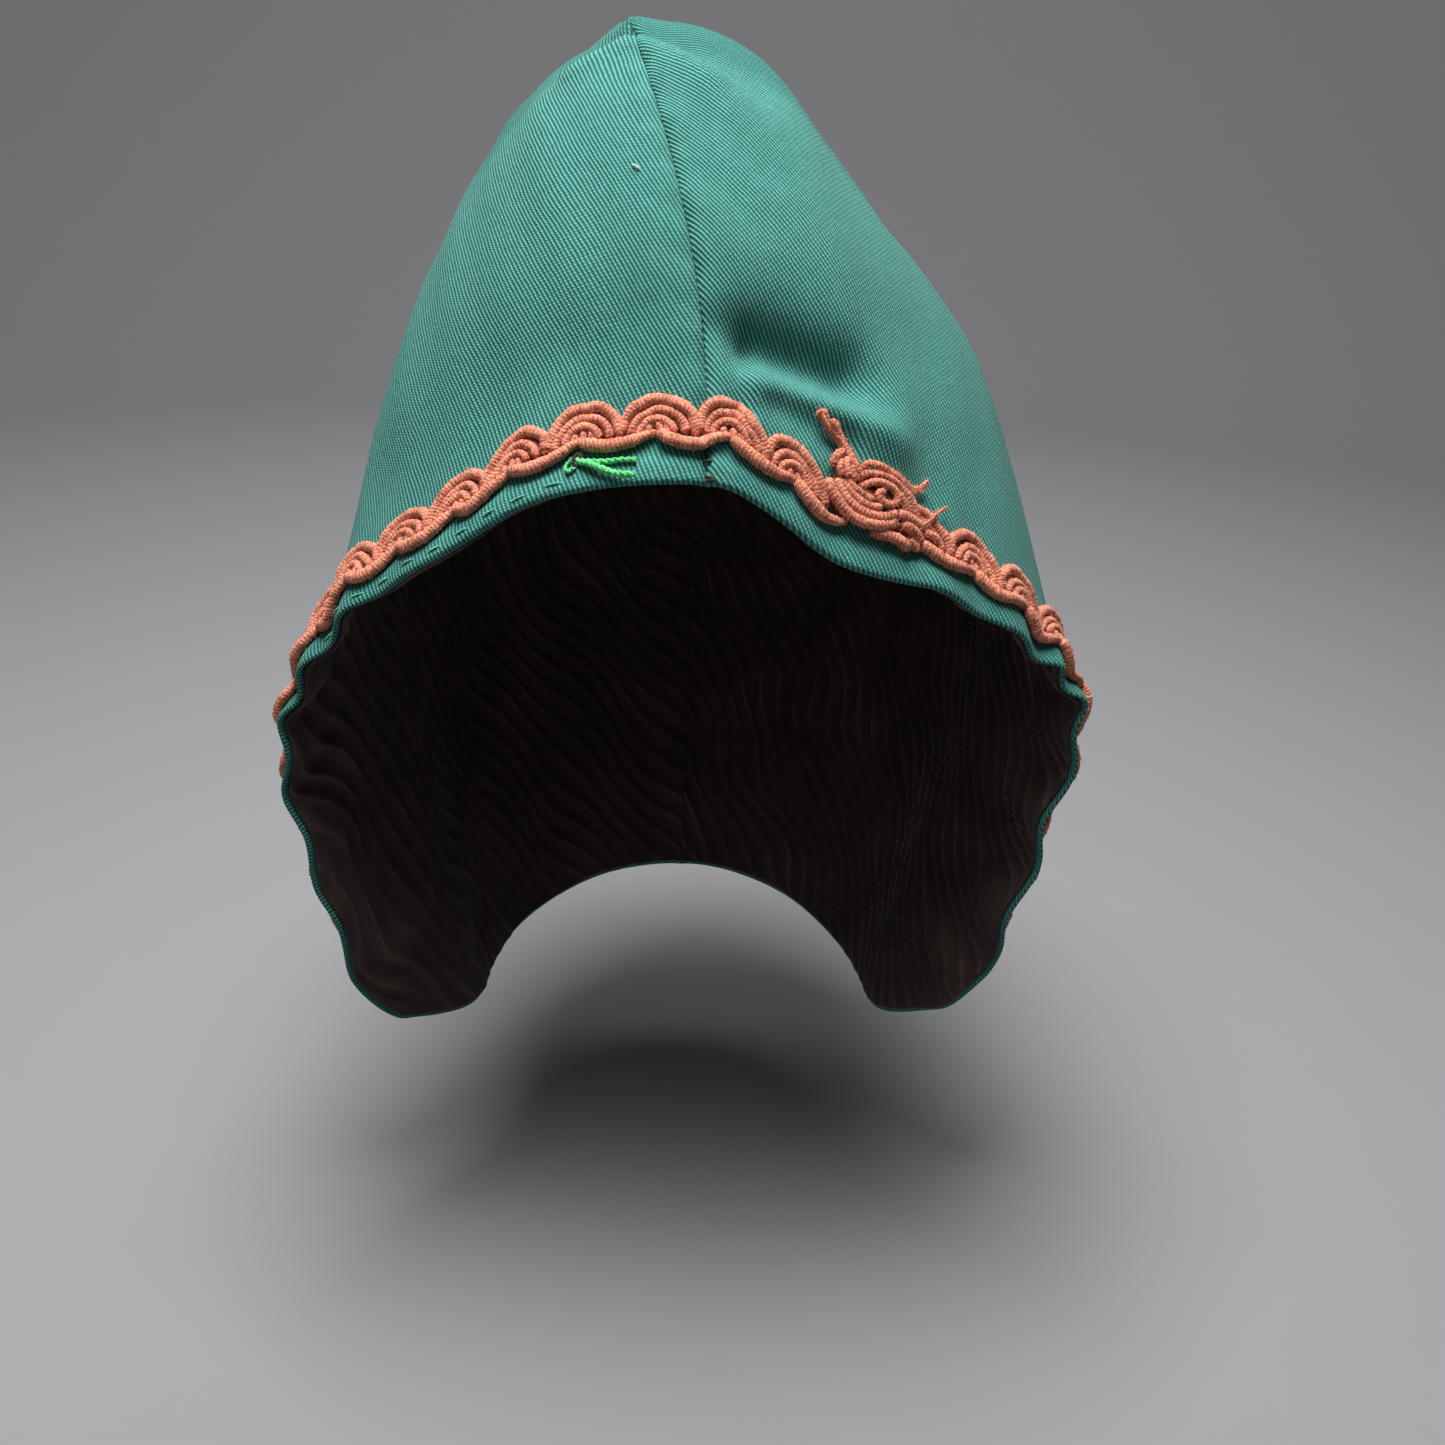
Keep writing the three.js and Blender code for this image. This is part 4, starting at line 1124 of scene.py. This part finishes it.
# Pitch in millimetres of the wrapping of the braid's cords and of the threads
CORD_RING = 0.8
THREAD_RING = 0.6
BRAID = wrapped_cord(
    "braid_cord", colour(0.15, 0.018, 0.008), colour(0.98, 0.37, 0.235), CORD_RING
)
BRIGHT_THREAD = wrapped_cord(
    "thread_bright_green", colour(0.02, 0.22, 0.07), colour(0.17, 0.86, 0.3), THREAD_RING
)
DULL_THREAD = wrapped_cord(
    "thread_dull_green", colour(0.015, 0.12, 0.08), colour(0.14, 0.6, 0.42), THREAD_RING
)
DARK_THREAD = wrapped_cord(
    "thread_dark", colour(0.004, 0.004, 0.004), colour(0.03, 0.025, 0.02), THREAD_RING
)
WHITE_THREAD = wrapped_cord(
    "lint_white", colour(0.5, 0.5, 0.48), colour(0.8, 0.8, 0.78), THREAD_RING
)


def finish_piece(piece, material, slot, *nodes):
    """Material, body and the solids that the piece stands for; the slot is not used."""
    piece.data.materials.append(material)
    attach(piece, "root")
    if nodes:
        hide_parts(*nodes)
    return piece


HAND = {1: "right", -1: "left"}


def cloth_of(side):
    """Shell cloth of one side, thicker at the turned hem."""
    panel = Panel(side, CLOTH_PITCH)
    over = hem_lift(panel.reach, panel.v)
    under = panel.thinned() - SHELL_WALL
    marks = flat_at(side, panel) * MM
    cloth = panel.closed("hood_cloth_" + HAND[side], over, under, CLOTH_RIM, marks)
    return finish_piece(cloth, TWILL[side], "shell_cloth", "shell_" + HAND[side])


def lining_of(side):
    """Lining of one side: creases stand up as (1 - distance from the crease)^1.5 and are
    flatter at the hem."""
    panel = Panel(side, LINING_PITCH, LINING_SHOWN_FROM)
    flat = flat_at(side, panel)
    ridges = from_crease(flat[..., 0], flat[..., 1], side, np.sin, np.abs)
    crinkle = (1 - ridges) ** 1.5 * 0.95 - 0.35
    crinkle *= smooth(panel.from_hem() / 6) * 0.8 + 0.2
    over = panel.thinned() - SHELL_WALL - LAYER_GAP + 0.25 - crinkle * CREASE_HEIGHT_HIDDEN
    under = over - LINING_WALL + 0.1 - crinkle * CREASE_HEIGHT
    lining = panel.closed("hood_lining_" + HAND[side], over, under, LINING_RIM, flat * MM)
    return finish_piece(lining, LINING[side], "lining_cloth", "lining_" + HAND[side])


for hood_side in (1, -1):
    cloth = cloth_of(hood_side)
    lining = lining_of(hood_side)

# The two runs of the braid end a little before the corners, and under the knot
RUN_END = 0.4
UNDER_KNOT_LEFT = 8.2
UNDER_KNOT_RIGHT = 6.2
left_run = braid_run("braid_left_run", RUN_END, KNOT_AT - UNDER_KNOT_LEFT, 5)
finish_piece(left_run, BRAID, "braid", "braid_long")
right_run = braid_run(
    "braid_right_run", KNOT_AT + UNDER_KNOT_RIGHT, float(BRAID_L[-1]) - RUN_END, 6
)
finish_piece(right_run, BRAID, "braid", "braid_short")


def trim_cords(listed, origin, sides, rough, seed, deep=0):
    """Cords listed as control places round a point of the braid, radius and number of rings."""
    parts = []
    for k, (controls, radius, steps) in enumerate(listed):
        path = curve(np.array(controls, float)[None] + np.array(origin), steps)
        places, up = on_trim(path)
        parts.append(cords(places, up, radius, sides, rough, seed + k, deep))
    return parts


# Across the braid, and over the cloth for the knot's cords and for the body under them
KNOT_ACROSS = -0.6
KNOT_CORDS_UP = 0.1
KNOT_BODY_UP = -0.2
knot_parts = trim_cords(knot_cords(), (KNOT_AT, KNOT_ACROSS, KNOT_CORDS_UP), 12, 0.07, 20)
knot_parts += trim_cords(knot_body(), (KNOT_AT, KNOT_ACROSS, KNOT_BODY_UP), 12, 0.05, 50, 1)
knot = new_piece("braid_knot_cords", *join(knot_parts))
finish_piece(knot, BRAID, "braid", "braid_knot")

# Loose end: a neck of threads that opens into a forked brush
BRUSH_THREADS = 9
BRUSH_RADIUS = 0.56
rng = np.random.default_rng(31)
brush = []
for k in range(BRUSH_THREADS):
    spread = k / ((BRUSH_THREADS - 1) / 2) - 1
    fork = 1 if spread > 0 else -1
    back = 0.5 * (k % 2)
    controls = [
        (-6.9 + 0.7 * spread, 9.4, 2.2 + back),
        (-7.6 + 0.8 * spread, 11.0, 2.0 + back),
        (-8.7 + 1.0 * spread, 12.8, 1.6 + back),
        (-10.4 + 1.5 * spread + 0.4 * fork, 14.9, 1.3 + back),
        (-12.6 + 1.5 * spread + 0.9 * fork, 17.0 + rng.normal(0, 0.5) - 0.5 * abs(spread), 1.2 + back),
    ]
    brush.append((controls, BRUSH_RADIUS, 44))
brush_piece = new_piece("braid_loose_brush", *join(trim_cords(brush, (KNOT_AT, 0, 0), 8, 0.08, 40)))
finish_piece(brush_piece, BRAID, "braid", "braid_loose_end")

# Loose strand: four threads side by side that rise at their end
STRAND_THREADS = 4
STRAND_PITCH = 0.42
STRAND_RADIUS = 0.45
strand = []
for k in range(STRAND_THREADS):
    off = (k - (STRAND_THREADS - 1) / 2) * STRAND_PITCH
    strand.append(([
        (0.6, 9.6 + off, 2.0 + 0.3 * (k % 2)), (3.0, 9.4 + off, 2.0), (5.2, 8.4 + off, 1.7),
        (7.4, 8.1 + off * 0.8, 1.3), (9.6, 9.0 + off * 0.7, 1.3), (11.4, 11.0 + off * 0.5, 1.6 + 0.2 * k),
    ], STRAND_RADIUS, 52))
strand_piece = new_piece("braid_loose_thread", *join(trim_cords(strand, (KNOT_AT, 0, 0), 8, 0.08, 60)))
finish_piece(strand_piece, BRAID, "braid", "braid_loose_strand")


def plied(controls, radius, turn_length, steps):
    """Two cords twisted round a path: circles of 0.7 of their radius in the distance across and
    the height, half a turn apart."""
    path = curve(np.array(controls, float)[None], steps)[0]
    both = []
    for start in (0, math.pi):
        angle = start + 2 * math.pi * length_gone(path) / turn_length
        off = np.stack([0 * angle, 0.7 * radius * np.cos(angle), 0.7 * radius * np.sin(angle)], -1)
        both.append(path + off)
    places, up = on_trim(np.stack(both))
    return cords(places, up, radius, 8, 0.06, 70)


def front_place(along, away, height):
    """Places along the braid at a distance from the front edge."""
    s = np.interp(along, BRAID_L, BRAID_S)
    reach = np.where(s > 0, braid_reach(1, np.abs(s)), braid_reach(-1, np.abs(s)))
    return np.stack([along + 0 * reach, away - reach, height + 0 * reach], -1)


def lay(name, parts, material):
    """A piece of thread on the cloth, made of cords."""
    return finish_piece(new_piece(name, *join(parts)), material, "shell_cloth")


# Green thread tied on the brim, left of the seam
upper_tail = [
    (184.4, -6.6, 0.9), (187.4, -7.6, 1.1), (190.4, -8.2, 1.0), (193.6, -8.2, 0.9),
    (196.4, -8.4, 0.8),
]
lower_tail = [
    (184.6, -6.8, 1.2), (187.4, -8.4, 1.4), (190.4, -10.2, 1.3), (193.2, -11.6, 1.3),
    (196.4, -12.4, 1.9),
]
tie_loop = [(183.2, -5.4, 0.3), (182.4, -7.2, 0.7), (183.2, -8.9, 0.7), (184.6, -8.2, 0.5)]
tie_tails = [
    plied(upper_tail, 0.36, 2.6, 60),
    plied(lower_tail, 0.47, 2.6, 60),
    plied(tie_loop, 0.3, 2.2, 30),
]
lay("thread_tie_tails", tie_tails, BRIGHT_THREAD)
tie_knot = [
    (184.4, -8.2, 0.5), (184.0, -6.8, 1.3), (184.7, -5.5, 1.5), (185.5, -6.6, 1.5),
    (185.3, -8.2, 0.7),
]
tie_parts = trim_cords([(tie_knot, 0.4, 30)], (0, 0, 0), 8, 0.08, 80)
lay("thread_tie_knot", tie_parts, DARK_THREAD)

# Running stitches along the hem, left of the tie
STITCH_LENGTH = 3.6
STITCH_PITCH = 7.4
STITCH_FROM_EDGE = 2.3
STITCH_HEIGHTS = np.array([-0.15, 0.15, 0.22, 0.15, -0.15])
stitch_parts = []
for k, start in enumerate(np.arange(112.0, 182.0, STITCH_PITCH)):
    along = start + STITCH_LENGTH * np.linspace(0, 1, 5)
    path = front_place(along, STITCH_FROM_EDGE + 0.3 * math.sin(2.1 * k), STITCH_HEIGHTS)
    places, up = on_trim(curve(path[None], 16))
    stitch_parts.append(cords(places, up, 0.24, 8, 0.08, 90 + k))
lay("thread_running", stitch_parts, DULL_THREAD)

# Dark tacks over the seam under the braid: place along it from the seam and across it, and slope
TACKS = [(0.0, -8.2, 0.3), (0.5, -11.6, -0.5), (0.8, -12.2, 0.4)]
seam_along = float(np.interp(0.0, BRAID_S, BRAID_L))
tack_parts = []
for k, (shift, across, slope) in enumerate(TACKS):
    path = np.array([
        (-1.1, across - slope, 0.0), (-0.4, across, 0.35), (0.4, across, 0.35),
        (1.1, across + slope, 0.0),
    ])
    path[:, 0] += seam_along + shift
    places, up = on_trim(curve(path[None], 14))
    tack_parts.append(cords(places, up, 0.3, 8, 0.08, 110 + k))
lay("thread_tacks", tack_parts, DARK_THREAD)


def thread_on(side, controls, radius, steps, seed):
    """Thread on one side: places as share from seam to bottom, distance from the front edge and
    height over the cloth."""
    path = curve(np.array(controls, float)[None], steps)
    places, up = on_panel(side, path[..., 0], path[..., 1], path[..., 2])
    return cords(places, up, radius, 6, 0.1, seed)


# White lint: side, places, radius and number of rings
LINT = [
    (-1, [(0.066, 139.6, 0.3), (0.07, 140.2, 0.6), (0.075, 140.4, 0.3)], 0.2, 12),
    (-1, [(0.037, 65.0, 0.25), (0.04, 65.8, 0.5), (0.044, 66.2, 0.25)], 0.24, 10),
    (1, [(0.383, 8.2, 0.3), (0.385, 9.0, 0.5), (0.389, 9.4, 0.3)], 0.22, 10),
    (-1, [(0.698, 10.2, 0.2), (0.703, 11.5, 0.5), (0.706, 13.4, 0.3), (0.712, 14.6, 0.2)],
     0.13, 24),
]
lint = [thread_on(*thread, 120 + k) for k, thread in enumerate(LINT)]
lay("lint_threads", lint, WHITE_THREAD)


FIBRE_COUNT = 20000
FIBRE_RADIUS = 0.06
FIBRE_LENGTHS = (0.35, 1.0)
FIBRE_LEAN = 0.55


def fuzz(name, pieces, count, seed):
    """Short fibres that stand out of pieces: thin pyramids of four faces from points of their
    meshes, each along the normal with some random lean."""
    rng = np.random.default_rng(seed)
    roots, normals = [], []
    for piece in pieces:
        total = len(piece.data.vertices)
        for listed, kind in ((roots, "co"), (normals, "normal")):
            values = np.empty(3 * total, dtype=np.float32)
            piece.data.vertices.foreach_get(kind, values)
            listed.append(values.reshape(-1, 3))
    roots = np.concatenate(roots) / MM
    normals = np.concatenate(normals)
    picked = rng.choice(len(roots), count, replace=False)
    root = roots[picked]
    lean = normals[picked] + FIBRE_LEAN * rng.standard_normal((count, 3))
    lean /= length_of(lean)
    side = np.cross(lean, rng.standard_normal((count, 3)))
    side /= length_of(side)
    other = np.cross(lean, side)
    tip = root + lean * rng.uniform(*FIBRE_LENGTHS, (count, 1))
    corners = [
        root + FIBRE_RADIUS * (math.cos(turn) * side + math.sin(turn) * other)
        for turn in (0, 2.1, 4.2)
    ]
    points = np.stack(corners + [tip], 1).reshape(-1, 3)
    pyramid = np.array([(0, 1, 3), (1, 2, 3), (2, 0, 3), (0, 2, 1)])
    faces = pyramid[None] + 4 * np.arange(count)[:, None, None]
    return new_piece(name, points, [faces.reshape(-1, 3)], [np.zeros((12 * count, 2))])


trimmed = [left_run, right_run, knot, brush_piece, strand_piece]
finish_piece(fuzz("braid_fibres", trimmed, FIBRE_COUNT, 200), BRAID, "braid")

# Stage, in metres: a floor that curves up into a wall all round
FLOOR_Z = -0.2765
FLAT_RADIUS = 1.1
WALL_CURVE = 0.6
WALL_TOP = 2.6


def studio_floor():
    """A floor with a round wall: a profile of flat, quarter circle and upright, turned about Z."""
    turn = np.linspace(0, 2 * np.pi, 97)[:-1]
    bend = np.linspace(0, np.pi / 2, 17)
    curved = FLAT_RADIUS + WALL_CURVE * np.sin(bend)
    radius = np.concatenate([[0.02, 0.5], curved, [FLAT_RADIUS + WALL_CURVE]])[:, None]
    height = np.concatenate([[0, 0], WALL_CURVE - WALL_CURVE * np.cos(bend), [WALL_TOP]])[:, None]
    upright = height + FLOOR_Z + 0 * turn
    points = np.stack([radius * np.cos(turn), radius * np.sin(turn), upright], -1)
    index = grid_numbers(*points.shape[:2])
    beside = np.roll(index, -1, axis=1)
    faces = np.stack([index[:-1], index[1:], beside[1:], beside[:-1]], -1).reshape(-1, 4)
    rim = index[0]
    centre = np.stack([np.full(len(rim) - 2, rim[0]), rim[1:-1], rim[2:]], -1)
    return new_piece("studio_floor", points.reshape(-1, 3) / MM, [faces, centre])


ground = studio_floor()
ground.data.materials.append(plain_matt("floor_grey", (0.27, 0.27, 0.28)))


def area_light(name, place, target, size, power):
    """Square soft light at a place, aimed at a target."""
    light = bpy.data.lights.new(name, "AREA")
    light.shape = "SQUARE"
    light.size = size
    light.energy = power
    lamp = bpy.data.objects.new(name, light)
    bpy.context.scene.collection.objects.link(lamp)
    aim = np.array(target) - np.array(place)
    lamp.location = place
    lamp.rotation_euler = (
        math.pi / 2 + math.atan2(aim[2], math.hypot(aim[0], aim[1])), 0, math.atan2(-aim[0], aim[1])
    )


area_light("light_top", (-0.05, -0.06, 0.6), (0, 0, 0), 0.42, 12.0)
area_light("light_front", (-0.5, -1.0, 0.6), (0, 0, -0.05), 0.8, 1.3)
area_light("light_wall", (0, 0.5, 1.0), (0, 1.7, 0.2), 0.6, 9.0)

world = bpy.data.worlds.new("studio_air")
world.use_nodes = True
air = world.node_tree.nodes["Background"]
air.inputs["Color"].default_value = colour(0.9, 0.95, 1.0)
air.inputs["Strength"].default_value = 0.09
bpy.context.scene.world = world

# Camera: place in metres; it looks 23.6 degrees down and 2.5 to the right, rolled by 2.8
PICTURE_WIDTH = 1445
FOCAL_PIXELS = 1400
SENSOR_WIDTH = 36.0
CAMERA_PLACE = (-0.0062, -0.3222, -0.0035)
CAMERA_YAW = math.radians(-2.5)
CAMERA_PITCH = math.radians(23.6)
CAMERA_ROLL = math.radians(2.8)


def make_camera():
    """Camera whose three axes come from its yaw, pitch and roll."""
    right = np.array([math.cos(CAMERA_YAW), math.sin(CAMERA_YAW), 0])
    level = np.array([-math.sin(CAMERA_YAW), math.cos(CAMERA_YAW), 0])
    ahead = level * math.cos(CAMERA_PITCH) - np.array([0, 0, math.sin(CAMERA_PITCH)])
    up = level * math.sin(CAMERA_PITCH) + np.array([0, 0, math.cos(CAMERA_PITCH)])
    turned_right = math.cos(CAMERA_ROLL) * right + math.sin(CAMERA_ROLL) * up
    turned_up = -math.sin(CAMERA_ROLL) * right + math.cos(CAMERA_ROLL) * up
    matrix = np.eye(4)
    matrix[:3, 0] = turned_right
    matrix[:3, 1] = turned_up
    matrix[:3, 2] = -ahead
    matrix[:3, 3] = CAMERA_PLACE
    data = bpy.data.cameras.new("photo_view")
    data.sensor_width = SENSOR_WIDTH
    data.lens = SENSOR_WIDTH * FOCAL_PIXELS / PICTURE_WIDTH
    data.clip_start = 0.01
    camera = bpy.data.objects.new("photo_view", data)
    bpy.context.scene.collection.objects.link(camera)
    camera.matrix_world = Matrix(matrix.tolist())
    bpy.context.scene.camera = camera


make_camera()
bpy.context.scene.view_settings.view_transform = "Standard"

bpy.context.view_layer.update()
